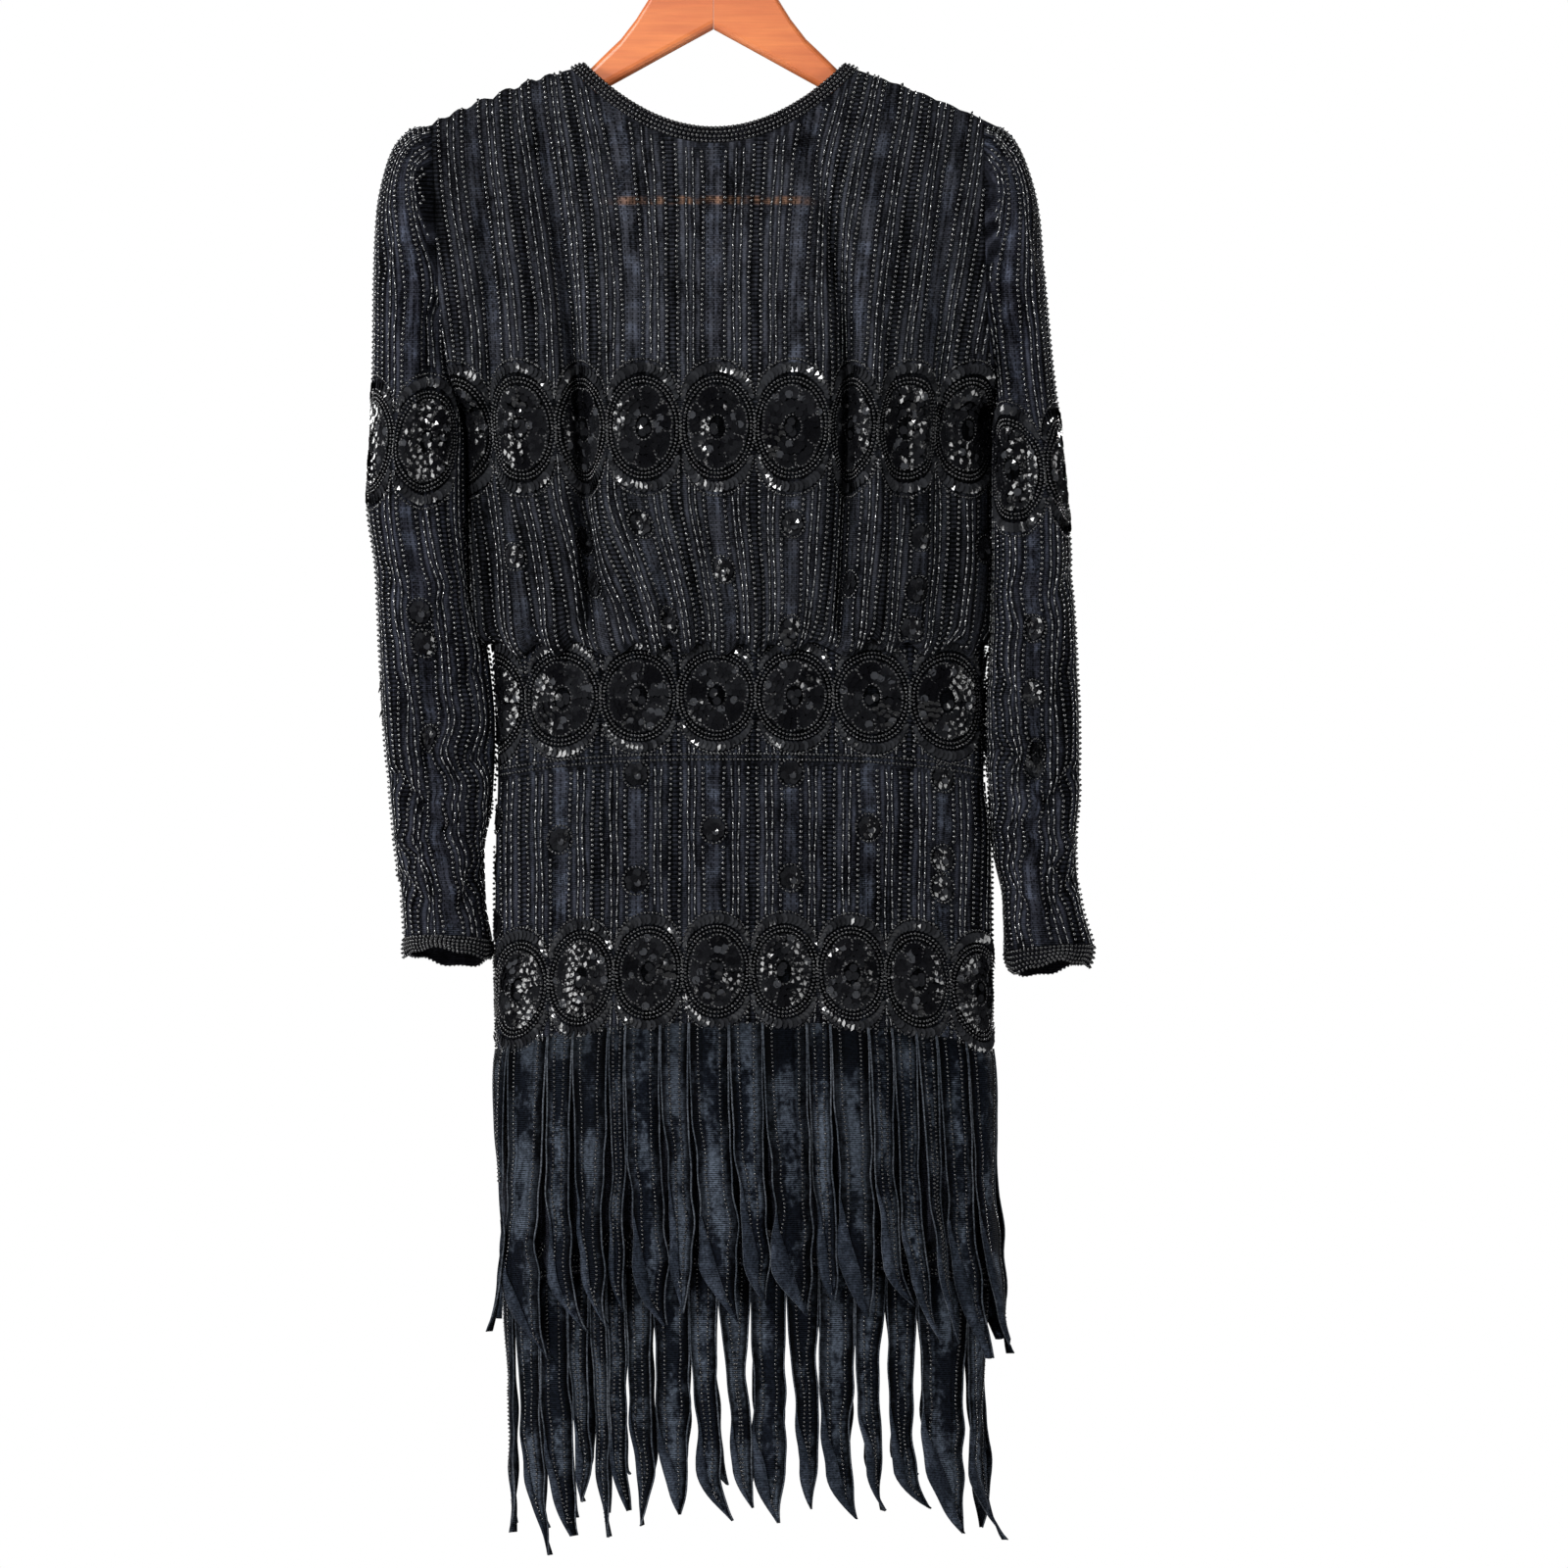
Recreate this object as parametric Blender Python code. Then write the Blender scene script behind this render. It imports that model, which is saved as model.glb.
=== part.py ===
"""A beaded evening dress with two tiers of pointed strips, hanging on a wooden hanger.

Metres, +Z up, +X to the viewer's right, and the dress's front faces -Y. The origin is where the
hook rests on a rail: the underside of the hook's arch. The tables and sizes below are in
millimetres. Each cloth piece is a wall of one thickness: an outer skin worked out from sections,
an inner skin moved in along its normals, and the rim between them.
"""
import math

import bpy
import bmesh
import numpy as np
from mathutils import Vector

MM = 0.001

# ---- cloth ----
CLOTH = 2.0              # wall of beaded net
SEAM_GAP = 0.4           # between pieces that are sewn together
SECTION_POWER = 2.4      # roundness of the body's sections: 2 is an ellipse
FRONT, BACK = "front", "back"

# ---- shoulders and neck ----
SHOULDER_Z = -147.6      # height of the shoulder line at the neck's corner
SHOULDER_X = 102.0       # its distance from the middle there
SHOULDER_SLOPE = 0.343
SHOULDER_BEND = 0.0006   # the line steepens towards the sleeve
CROWN = 30.0             # rounding of the line over the middle
WRAP_RADIUS = 9.5        # the cloth's roll over the hanger's arm
TENT_HEIGHT = 240.0      # height over which the cloth spreads from the arm to its full depth
TENT_POWER = 1.3
NECK_X = 0.7             # the neckline's middle
NECK_HALF = 94.8         # its half-width at the shoulders
NECK_DROP = {FRONT: 48.2, BACK: 50.5}
BINDING_WIDTH = 10.6     # across the shoulder, where it is narrowest
BINDING_LOW = 12.2       # down the middle
BINDING_GAP = 2.0        # the slit at the middle of the back
SLIT_DEPTH = 125.0       # how far the slit runs below the back neckline
# where the neckline is sampled, from its middle to its corner
NECK_STEPS = (0.0, 0.22, 0.44, 0.66, 0.85, 0.97, 1.0)

# ---- armholes ----
UNDERARM_Z = -399.6
ARMHOLE_WIDEST_Z = -290.0

# ---- bodice sections, top to bottom: edges at the armhole or side seam, depths from the middle
BODICE_NAMES = ("z", "left", "right", "front", "back")
BODICE_ROWS = (
    (-188.0, -206.6, 198.0, 50.0, 42.0),
    (-212.4, -205.2, 198.0, 50.0, 42.0),
    (-247.0, -203.0, 198.0, 50.0, 42.0),
    (-298.8, -200.2, 198.7, 51.0, 43.0),
    (-356.4, -194.4, 201.6, 53.0, 45.0),
    (-399.6, -185.8, 204.0, 54.0, 46.0),
    (-421.2, -180.9, 203.4, 54.0, 46.0),
    (-457.2, -180.0, 203.0, 54.0, 46.0),
    (-529.2, -178.6, 204.0, 54.0, 45.0),
    (-558.0, -177.1, 204.0, 54.0, 45.0),
    (-568.8, -172.1, 202.6, 51.0, 43.0),
    (-573.6, -165.5, 200.2, 48.3, 41.9),
    (-575.30, -161.0, 198.6, 45.4, 40.3),
    (-575.32, -157.8, 197.4, 42.8, 38.8),
)
# rows of the wall: part of the way from the top edge to the underarm, then heights
YOKE_STEPS = (0.0, 0.0055, 0.02, 0.046, 0.14, 0.3, 0.5, 0.74, 1.0)
BODICE_HEIGHTS = (-440.0, -505.0, -558.0, -568.8, -573.6, -575.30, -575.32)
# columns outside the neck, as places along the shoulder
SHOULDER_COLUMNS = (0.0, 0.04, 0.13, 0.27, 0.42, 0.6, 0.8)

# ---- waistband, skirt and hem tier: one form, cut into three
SKIRT_NAMES = ("z", "left", "right", "front", "back", "drop")
SKIRT_ROWS = (
    (-568.0, -157.0, 196.6, 42.0, 38.0, 0.0),
    (-612.0, -157.7, 196.6, 42.0, 38.0, 6.0),
    (-657.4, -158.4, 198.0, 43.0, 39.0, 12.0),
    (-702.0, -159.8, 203.8, 47.0, 43.0, 14.0),
    (-774.0, -160.6, 204.5, 50.0, 46.0, 18.0),
    (-860.4, -158.4, 204.5, 52.0, 47.0, 22.0),
    (-939.6, -155.5, 203.0, 52.0, 47.0, 22.0),
    (-1022.4, -154.1, 201.6, 51.0, 46.0, 20.0),
    (-1105.2, -149.8, 198.7, 50.0, 45.0, 14.0),
    (-1177.2, -147.6, 198.7, 49.0, 44.0, 8.0),
    (-1240.0, -145.4, 198.7, 48.0, 44.0, 0.0),
)
WAISTBAND_HEIGHTS = (-568.0, -612.0, -656.8)
SKIRT_HEIGHTS = (-657.4, -702.0, -774.0, -860.4, -939.6, -1022.0)

# ---- the hip tier stands out from the skirt, more towards its tips
TIER_NAMES = ("z", "out")
TIER_ROWS = (
    (-859.0, 3.2),
    (-903.6, 4.6),
    (-939.6, 6.0),
    (-1007.3, 10.0),
    (-1062.0, 13.5),
    (-1090.0, 14.5),
)

# ---- pointed strips: shares of the width where a strip starts and ends, at three heights, and
# the place and height of its tip. 0 is the left side seam and 1 the right one.
STRIP_NAMES = ("left", "right", "mid_left", "mid_right", "low_left", "low_right", "tip", "tip_z")
HIP_STRIP_HEIGHTS = (-859.0, -872.0, -950.0, -1020.0)
HIP_STRIPS = (
    (0.000, 0.028, 0.000, 0.026, 0.000, 0.020, 0.000, -1063.0),
    (0.030, 0.108, 0.028, 0.106, 0.024, 0.112, 0.118, -1083.0),
    (0.110, 0.160, 0.109, 0.164, 0.118, 0.176, 0.205, -1064.0),
    (0.162, 0.231, 0.167, 0.234, 0.180, 0.236, 0.240, -1063.0),
    (0.233, 0.264, 0.237, 0.270, 0.240, 0.276, 0.266, -1052.0),
    (0.266, 0.333, 0.273, 0.340, 0.282, 0.352, 0.352, -1063.0),
    (0.335, 0.390, 0.343, 0.398, 0.358, 0.408, 0.385, -1054.0),
    (0.392, 0.469, 0.401, 0.478, 0.412, 0.488, 0.490, -1060.0),
    (0.471, 0.536, 0.481, 0.542, 0.492, 0.546, 0.540, -1046.0),
    (0.538, 0.623, 0.545, 0.628, 0.551, 0.632, 0.618, -1056.0),
    (0.625, 0.670, 0.631, 0.674, 0.636, 0.676, 0.668, -1045.0),
    (0.672, 0.745, 0.677, 0.748, 0.680, 0.750, 0.731, -1056.0),
    (0.747, 0.792, 0.751, 0.794, 0.754, 0.800, 0.820, -1046.0),
    (0.794, 0.841, 0.797, 0.846, 0.806, 0.856, 0.868, -1071.0),
    (0.843, 0.881, 0.850, 0.886, 0.862, 0.894, 0.905, -1070.0),
    (0.883, 0.941, 0.890, 0.944, 0.899, 0.948, 0.960, -1078.0),
    (0.943, 1.000, 0.948, 1.000, 0.954, 1.000, 0.996, -1083.0),
)
HEM_STRIP_HEIGHTS = (-1022.6, -1032.0, -1105.0, -1170.0)
HEM_STRIPS = (
    (0.000, 0.022, 0.000, 0.020, 0.002, 0.022, 0.004, -1218.0),
    (0.024, 0.075, 0.023, 0.072, 0.028, 0.076, 0.080, -1234.0),
    (0.077, 0.134, 0.076, 0.131, 0.082, 0.132, 0.140, -1218.0),
    (0.136, 0.180, 0.136, 0.176, 0.140, 0.178, 0.162, -1192.0),
    (0.182, 0.216, 0.180, 0.214, 0.182, 0.214, 0.205, -1219.0),
    (0.218, 0.254, 0.218, 0.250, 0.219, 0.248, 0.250, -1199.0),
    (0.256, 0.308, 0.257, 0.306, 0.262, 0.308, 0.276, -1210.0),
    (0.310, 0.384, 0.313, 0.382, 0.322, 0.378, 0.356, -1202.0),
    (0.386, 0.442, 0.387, 0.438, 0.396, 0.446, 0.470, -1206.0),
    (0.444, 0.510, 0.461, 0.502, 0.466, 0.508, 0.512, -1197.0),
    (0.512, 0.582, 0.512, 0.580, 0.514, 0.580, 0.562, -1208.0),
    (0.584, 0.650, 0.595, 0.646, 0.606, 0.644, 0.636, -1198.0),
    (0.652, 0.722, 0.650, 0.720, 0.662, 0.718, 0.722, -1205.0),
    (0.724, 0.786, 0.728, 0.780, 0.742, 0.782, 0.782, -1199.0),
    (0.788, 0.850, 0.796, 0.846, 0.800, 0.852, 0.880, -1197.0),
    (0.852, 0.955, 0.864, 0.951, 0.870, 0.950, 0.946, -1217.0),
    (0.957, 1.000, 0.960, 0.996, 0.960, 1.000, 1.020, -1225.0),
)
BACK_INSET = 0.003                                # a back strip is this much narrower a side
BACK_TIP_SHARE = 0.35                             # and its tip this much nearer to its own middle
BACK_TIP_LIFT = (4.0, 12.0, 2.0, 9.0, 5.0, 14.0, 3.0, 8.0, 11.0)
TIP_WIDTH = 0.004                                 # share of the width left at a tip

# ---- the largest folds: troughs and ridges that run down a face
FOLD_NAMES = ("x_top", "x_mid", "x_low", "z_top", "z_mid", "z_low", "half_width", "depth")
FOLDS = {
    FRONT: (
        (-171.0, -162.0, -160.0, -215.0, -365.0, -560.0, 9.0, 6.0),
        (-126.0, -98.0, -80.0, -200.0, -365.0, -560.0, 11.0, 8.0),
        (-60.0, -46.0, -30.0, -250.0, -350.0, -450.0, 10.0, 2.5),
        (-15.0, 3.0, 30.0, -430.0, -520.0, -590.0, 10.0, 4.5),
        (74.0, 98.0, 90.0, -210.0, -365.0, -560.0, 11.0, 8.0),
        (124.0, 127.0, 128.0, -330.0, -460.0, -565.0, 8.0, 5.0),
        (167.0, 165.0, 160.0, -215.0, -365.0, -560.0, 10.0, 6.5),
        (-110.0, -111.0, -112.0, -640.0, -780.0, -1030.0, 14.0, 4.0),
        (-32.0, -31.0, -30.0, -640.0, -780.0, -1030.0, 16.0, 4.5),
        (22.0, 24.0, 26.0, -640.0, -780.0, -1030.0, 12.0, 4.0),
        (76.0, 74.0, 72.0, -640.0, -780.0, -1030.0, 13.0, 4.5),
        (138.0, 138.0, 140.0, -640.0, -780.0, -1030.0, 14.0, 5.0),
    ),
    BACK: (
        (-150.0, -136.0, -128.0, -215.0, -380.0, -560.0, 11.0, 7.0),
        (-72.0, -62.0, -58.0, -240.0, -400.0, -570.0, 13.0, 5.5),
        (66.0, 70.0, 76.0, -230.0, -390.0, -565.0, 12.0, 6.0),
        (150.0, 146.0, 140.0, -215.0, -380.0, -560.0, 11.0, 7.0),
        (-88.0, -90.0, -94.0, -640.0, -800.0, -1030.0, 15.0, 4.5),
        (-10.0, -8.0, -8.0, -650.0, -800.0, -1030.0, 14.0, 4.0),
        (60.0, 62.0, 66.0, -640.0, -790.0, -1030.0, 16.0, 5.0),
        (130.0, 132.0, 134.0, -640.0, -800.0, -1030.0, 13.0, 4.0),
    ),
}
FOLD_END = 45.0          # height over which a fold fades out

# ---- sleeves: each ring's outermost and innermost points, its depths and how far its back hangs
# below its front. The first ring is the armhole itself.
RING_NAMES = ("out_x", "out_z", "in_x", "in_z", "front", "back", "tilt")
SLEEVE_RINGS = {
    "left": (
        (-222.0, -192.8, -190.0, -402.0, 33.0, 31.0, 0.0),
        (-233.0, -205.0, -189.0, -405.0, 36.0, 33.0, 0.0),
        (-241.0, -227.0, -187.6, -411.0, 39.0, 35.0, 0.0),
        (-246.2, -256.0, -185.6, -420.0, 41.0, 37.0, 0.0),
        (-248.4, -306.0, -183.6, -434.0, 42.0, 39.0, 0.0),
        (-249.1, -366.0, -182.2, -455.0, 42.0, 40.0, 0.0),
        (-251.5, -425.0, -181.4, -482.0, 42.0, 40.0, 0.0),
        (-253.4, -468.0, -181.2, -505.0, 41.0, 40.0, 0.0),
        (-247.4, -515.0, -180.4, -532.0, 40.0, 39.0, 0.0),
        (-244.6, -575.0, -179.4, -580.0, 38.0, 38.0, 0.0),
        (-241.6, -632.0, -172.0, -635.0, 37.0, 36.0, 0.0),
        (-237.6, -676.0, -166.4, -680.0, 36.0, 35.0, 1.0),
        (-233.5, -720.0, -171.6, -722.0, 34.0, 33.0, 2.0),
        (-228.6, -758.0, -168.6, -758.0, 33.0, 33.0, 4.0),
        (-226.6, -787.0, -163.6, -789.0, 33.0, 33.0, 5.0),
    ),
    "right": (
        (210.0, -191.0, 205.4, -402.0, 33.0, 31.0, 0.0),
        (219.0, -199.0, 206.0, -405.0, 36.0, 33.0, 0.0),
        (229.5, -221.0, 206.2, -411.0, 39.0, 35.0, 0.0),
        (237.4, -252.0, 205.8, -420.0, 41.0, 37.0, 0.0),
        (242.6, -306.0, 205.0, -434.0, 42.0, 39.0, 0.0),
        (248.2, -366.0, 204.4, -455.0, 42.0, 40.0, 0.0),
        (255.4, -425.0, 204.2, -482.0, 42.0, 40.0, 0.0),
        (259.6, -468.0, 204.4, -505.0, 41.0, 40.0, 0.0),
        (262.2, -515.0, 205.0, -532.0, 40.0, 39.0, 0.0),
        (266.0, -575.0, 205.2, -580.0, 38.0, 38.0, 0.0),
        (268.4, -632.0, 206.2, -635.0, 37.0, 36.0, 0.0),
        (268.6, -676.0, 207.0, -680.0, 36.0, 35.0, 1.0),
        (265.6, -718.0, 208.4, -722.0, 34.0, 33.0, 2.0),
        (269.4, -758.0, 213.6, -758.0, 33.0, 33.0, 3.0),
        (279.0, -792.0, 214.4, -797.0, 32.0, 33.0, 4.0),
    ),
}
WRIST_RINGS = {
    "left": ((-226.6, -787.5, -163.6, -789.5, 33.0, 33.0, 5.0),
             (-225.0, -797.0, -163.8, -799.0, 32.0, 33.5, 6.0)),
    "right": ((279.0, -792.5, 214.4, -797.5, 32.0, 33.0, 4.0),
              (274.0, -804.0, 218.0, -808.0, 30.0, 33.0, 4.0)),
}
SLEEVE_SIDES = 14        # points round a sleeve
SLEEVE_POWER = 2.2

# ---- hanger ----
ARM_HALF_THICKNESS = 6.5
ARM_GAP = 1.0            # under the cloth
ARM_SHAPE = (            # distance from the middle, top and bottom
    (0.15, -62.0, -118.9),
    (9.0, -62.4, -123.8),
    (18.0, -64.4, -128.7),
    (28.0, -69.0, -134.2),
    (36.0, -77.5, -138.6),
    (42.5, -88.0, -142.2),
    (47.9, -97.2, -145.2),
    (56.9, -111.6, -150.2),
    (68.0, -126.0, -156.3),
    (75.6, -133.2, -160.5),
    (84.0, -141.4, -165.5),
    (91.0, -148.4, -169.2),
)
ARM_OUTER = (            # distance and bottom further out, where the top follows the shoulder line
    (106.0, -177.0),
    (130.0, -188.6),
    (152.0, -198.5),
    (166.0, -206.0),
    (173.0, -215.0),
    (178.0, -238.0),
    (182.0, -252.0),
    (187.5, -256.5),
    (193.0, -253.0),
)
ARM_TIP = (197.0, -202.0, -242.0)
ARM_TIP_TOP = (193.0, -192.5)
ARM_CORNER_STEPS = 4     # facets on each quarter round of an arm's section
BAR_Z = -244.5
BAR_RADIUS = 5.5
BAR_END = 186.0
BAR_SOCKET = 0.3         # clearance round and behind the bar's end
HOOK_WIRE = 1.7
HOOK_BEND = 24.0         # radius of the arch, to the wire's middle
HOOK_TIP_ANGLE = 205.0
HOOK_LEAVE_ANGLE = -52.0
HOOK_SHANK_TOP = -52.0
HOOK_SHANK_END = -84.0
HOOK_CLEARANCE = 0.3

# ---- button and loop at the nape ----
BUTTON_RADIUS = 4.5
BUTTON_HEIGHT = 3.0
BUTTON_SHARE = -0.072    # its place along the back neckline, from the middle
LOOP_RADIUS = 5.5
LOOP_CORD = 0.75
LOOP_OPENING = 48.0      # degrees from the loop's axis to where it turns to its legs
LOOP_END = 10.5          # the legs' ends, right of the button's middle
LOOP_SPREAD = 1.6        # half the distance between them
NAPE_LIFT = 0.5          # both stand this far off the binding


# ---------------------------------------------------------------- tables and smooth reading

def columns(names, rows):
    """A table as one array for each named column."""
    return dict(zip(names, np.array(rows, dtype=float).T))


def smooth(at, xs, ys):
    """Cubic reading of a table, without overshoot. xs may rise or fall."""
    xs, ys = np.asarray(xs, float), np.asarray(ys, float)
    if xs[0] > xs[-1]:
        xs, ys = xs[::-1], ys[::-1]
    step = np.diff(xs)
    slope = np.diff(ys) / step
    tangent = np.zeros(len(xs))
    tangent[0], tangent[-1] = slope[0], slope[-1]
    before, after = slope[:-1], slope[1:]
    same = before * after > 0
    total = np.where(same, before + after, 1.0)
    tangent[1:-1] = np.where(same, 2 * before * after / total, 0.0)
    at = np.clip(np.asarray(at, float), xs[0], xs[-1])
    i = np.clip(np.searchsorted(xs, at) - 1, 0, len(xs) - 2)
    h = step[i]
    t = (at - xs[i]) / h
    return ((2 * t ** 3 - 3 * t ** 2 + 1) * ys[i] + (t ** 3 - 2 * t ** 2 + t) * h * tangent[i]
            + (3 * t ** 2 - 2 * t ** 3) * ys[i + 1] + (t ** 3 - t ** 2) * h * tangent[i + 1])


BODICE = columns(BODICE_NAMES, BODICE_ROWS)
SKIRT = columns(SKIRT_NAMES, SKIRT_ROWS)
TIER = columns(TIER_NAMES, TIER_ROWS)


def read(table, name, z):
    return smooth(z, table["z"], table[name])


# ---------------------------------------------------------------- the dress's form

def side_of(face):
    return -1.0 if face == FRONT else 1.0


def section(share):
    """Depth of a section, 0 at its side seams and 1 in the middle."""
    place = np.clip(np.abs(2 * share - 1), 0, 1)
    return (1 - place ** SECTION_POWER) ** (1 / SECTION_POWER)


def shoulder_line(x):
    reach = np.sqrt(x ** 2 + CROWN ** 2) - math.sqrt(SHOULDER_X ** 2 + CROWN ** 2)
    return SHOULDER_Z - SHOULDER_SLOPE * reach - SHOULDER_BEND * np.maximum(reach, 0) ** 2


def neckline(face, along, across):
    """A point (x, z) of the binding: along from -1 to 1, across 0 at its top and 1 at its lower edge."""
    half = NECK_HALF + BINDING_WIDTH * across
    x = NECK_X + half * along
    corner = shoulder_line(NECK_X + half * np.sign(along + 1e-9))
    lowest = shoulder_line(NECK_X + NECK_HALF) - NECK_DROP[face] - BINDING_LOW * across
    return x, corner + (lowest - corner) * (1 - along ** 2)


def wrap(below):
    """The quarter round over the hanger's arm."""
    left = WRAP_RADIUS - np.clip(below, 0, WRAP_RADIUS)
    return np.sqrt(WRAP_RADIUS ** 2 - left ** 2)


def tent(below):
    return 1 - (1 - np.clip(below / TENT_HEIGHT, 0, 1)) ** TENT_POWER


def armhole_share(z):
    """1 down to the armhole's widest height, then 0 at the underarm, as an ellipse falls."""
    s = np.clip((ARMHOLE_WIDEST_Z - z) / (ARMHOLE_WIDEST_Z - UNDERARM_Z), 0, 1)
    return np.sqrt(1 - s ** 2)


def folds(face, x, z):
    """How far the largest folds move the cloth out of its section; a trough is negative."""
    total = np.zeros(np.broadcast(x, z).shape)
    for row in FOLDS[face]:
        fold = dict(zip(FOLD_NAMES, row))
        heights = (fold["z_top"], fold["z_mid"], fold["z_low"])
        path = smooth(z, heights, (fold["x_top"], fold["x_mid"], fold["x_low"]))
        fade = np.clip(np.minimum(heights[0] + FOLD_END - z, z - heights[2] + FOLD_END) / FOLD_END, 0, 1)
        fade = fade * fade * (3 - 2 * fade)
        total -= fold["depth"] * fade * np.exp(-((x - path) / fold["half_width"]) ** 2)
    return total


def bodice_point(face, share, z):
    left, right = read(BODICE, "left", z), read(BODICE, "right", z)
    x = left + (right - left) * share
    below = np.maximum(shoulder_line(x) - z, 0)
    full = wrap(below) + (read(BODICE, face, z) - WRAP_RADIUS) * tent(below)
    edge = armhole_share(z)
    depth = full * (edge + (1 - edge) * section(share))
    rim = np.clip((z - BODICE_ROWS[-1][0]) / 20.0, 0, 1)      # no fold on the edge inside the blouse
    depth += folds(face, x, z) * section(share) * tent(below) * rim
    return np.stack([x, side_of(face) * np.maximum(depth, SEAM_GAP / 2), z + 0 * x], -1)


def skirt_point(face, share, z, out=0.0):
    left, right = read(SKIRT, "left", z) - out, read(SKIRT, "right", z) + out
    x = left + (right - left) * share
    place = np.abs(2 * share - 1)
    ends = np.clip(np.minimum(z - SKIRT_ROWS[-1][0], SKIRT_ROWS[2][0] - z) / 40.0, 0, 1)
    depth = (read(SKIRT, face, z) + out + folds(face, x, z) * ends) * section(share)
    return np.stack([x, side_of(face) * np.maximum(depth, SEAM_GAP / 2),
                     z - read(SKIRT, "drop", z) * place ** 3], -1)


# ---------------------------------------------------------------- meshes

def material(name, colour, roughness, metallic=0.0):
    made = bpy.data.materials.new(name)
    made.use_nodes = True
    shader = made.node_tree.nodes["Principled BSDF"]
    shader.inputs["Base Color"].default_value = (*colour, 1.0)
    shader.inputs["Roughness"].default_value = roughness
    shader.inputs["Metallic"].default_value = metallic
    return made


def add_object(name, vertices, faces, look, smooth_angle=40.0):
    mesh = bpy.data.meshes.new(name)
    mesh.from_pydata([tuple(v) for v in np.asarray(vertices) * MM], [], [tuple(f) for f in faces])
    mesh.shade_smooth()
    mesh.set_sharp_from_angle(angle=math.radians(smooth_angle))
    mesh.materials.append(look)
    made = bpy.data.objects.new(name, mesh)
    bpy.context.scene.collection.objects.link(made)
    return made


def vertex_normals(points, quads):
    """Normals of a skin, each vertex taking the area-weighted mean of its quads."""
    corners = points[quads]
    across = np.cross(corners[:, 2] - corners[:, 0], corners[:, 3] - corners[:, 1])
    normals = np.zeros_like(points)
    for k in range(4):
        np.add.at(normals, quads[:, k], across)
    return normals


def wall(name, points, quads, look, has_seams=True, across=None):
    """A closed wall from its outer skin. The rims that are sewn to another piece stay square to it:
    those on the plane Y = 0, where front meets back, and those with a direction in across, the
    one that leads over the seam."""
    points = np.asarray(points, float).reshape(-1, 3)
    used, compact = np.unique(quads, return_inverse=True)
    points, quads = points[used], compact.reshape(-1, 4)
    normals = vertex_normals(points, quads)
    if across is not None:
        over = across.reshape(-1, 3)[used]
        normals -= over * np.sum(normals * over, axis=1)[:, None]
    if has_seams:
        normals[np.abs(points[:, 1]) < SEAM_GAP, 1] = 0
    normals /= np.linalg.norm(normals, axis=1)[:, None]
    count = len(points)
    skins = np.vstack([points, points - normals * CLOTH])
    faces = []
    for a, b, c, d in quads:
        faces += [(a, b, c), (a, c, d)]
        faces += [(a + count, c + count, b + count), (a + count, d + count, c + count)]
    edges = {}
    for quad in quads:
        for a, b in zip(quad, np.roll(quad, -1)):
            edges[(a, b)] = True
    for a, b in edges:
        if (b, a) not in edges:
            faces += [(b, a, a + count), (b, a + count, b + count)]
    return add_object(name, skins, faces, look)


def grid_quads(rows, cols, outward, closed=False):
    """Quads of a grid of points, row after row, turned to face outward (+1) or the other way (-1)."""
    quads = []
    for r in range(rows - 1):
        for c in range(cols if closed else cols - 1):
            n = (c + 1) % cols
            quad = [r * cols + c, (r + 1) * cols + c, (r + 1) * cols + n, r * cols + n]
            quads.append(quad if outward > 0 else quad[::-1])
    return np.array(quads)


# ---------------------------------------------------------------- bodice and neck

def top_columns():
    """Places along the top edge: down one shoulder, round the neckline and up the other."""
    left_end, right_end = BODICE["left"][0], BODICE["right"][0]
    corner = NECK_HALF + BINDING_WIDTH + SEAM_GAP
    left = [left_end + (NECK_X - corner - left_end) * s for s in SHOULDER_COLUMNS]
    right = [right_end + (NECK_X + corner - right_end) * s for s in SHOULDER_COLUMNS]
    neck = [-s for s in NECK_STEPS[:0:-1]] + list(NECK_STEPS)
    return np.array(left), np.array(neck), np.array(right[::-1])


def top_edge(face):
    """The panel's top edge: x, z along the shoulders and just below the binding."""
    left, neck, right = top_columns()
    neck_x, neck_z = neckline(face, neck, 1 + SEAM_GAP / BINDING_WIDTH)
    x = np.concatenate([left, neck_x, right])
    return x, np.concatenate([shoulder_line(left), neck_z, shoulder_line(right)])


def bodice_shares(face):
    """Places of the bodice's columns across its width."""
    x_top, z_top = top_edge(face)
    left, right = read(BODICE, "left", z_top), read(BODICE, "right", z_top)
    share = (x_top - left) / (right - left)
    share[0], share[-1] = 0.0, 1.0
    return share


def bodice_skin(face):
    share = bodice_shares(face)
    z_top = top_edge(face)[1]
    yoke = [z_top + (UNDERARM_Z - z_top) * step for step in YOKE_STEPS]
    lower = [np.full(len(share), z) for z in BODICE_HEIGHTS]
    return bodice_point(face, share[None, :], np.array(yoke + lower))


def add_bodice(look):
    front, back = bodice_skin(FRONT), bodice_skin(BACK)
    rows, cols = front.shape[:2]
    across = np.zeros((rows, cols, 3))
    across[:len(YOKE_STEPS) - 1, [0, -1], 0] = 1
    wall("bodice_front", front, grid_quads(rows, cols, 1), look, across=across)
    middle = cols // 2
    slit_bottom = back[0, middle, 2] - SLIT_DEPTH
    opening = np.where(back[:, middle, 2] > slit_bottom, BINDING_GAP, SEAM_GAP) / 2
    for name, part, away in (("bodice_back_left", slice(0, middle + 1), -1),
                             ("bodice_back_right", slice(middle, cols), 1)):
        half, over = back[:, part].copy(), across[:, part].copy()
        edge = -1 if away < 0 else 0
        half[:, edge, 0] += away * opening
        over[:, edge, 0] = 1
        wall(name, half, grid_quads(rows, half.shape[1], -1), look, across=over)


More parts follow.
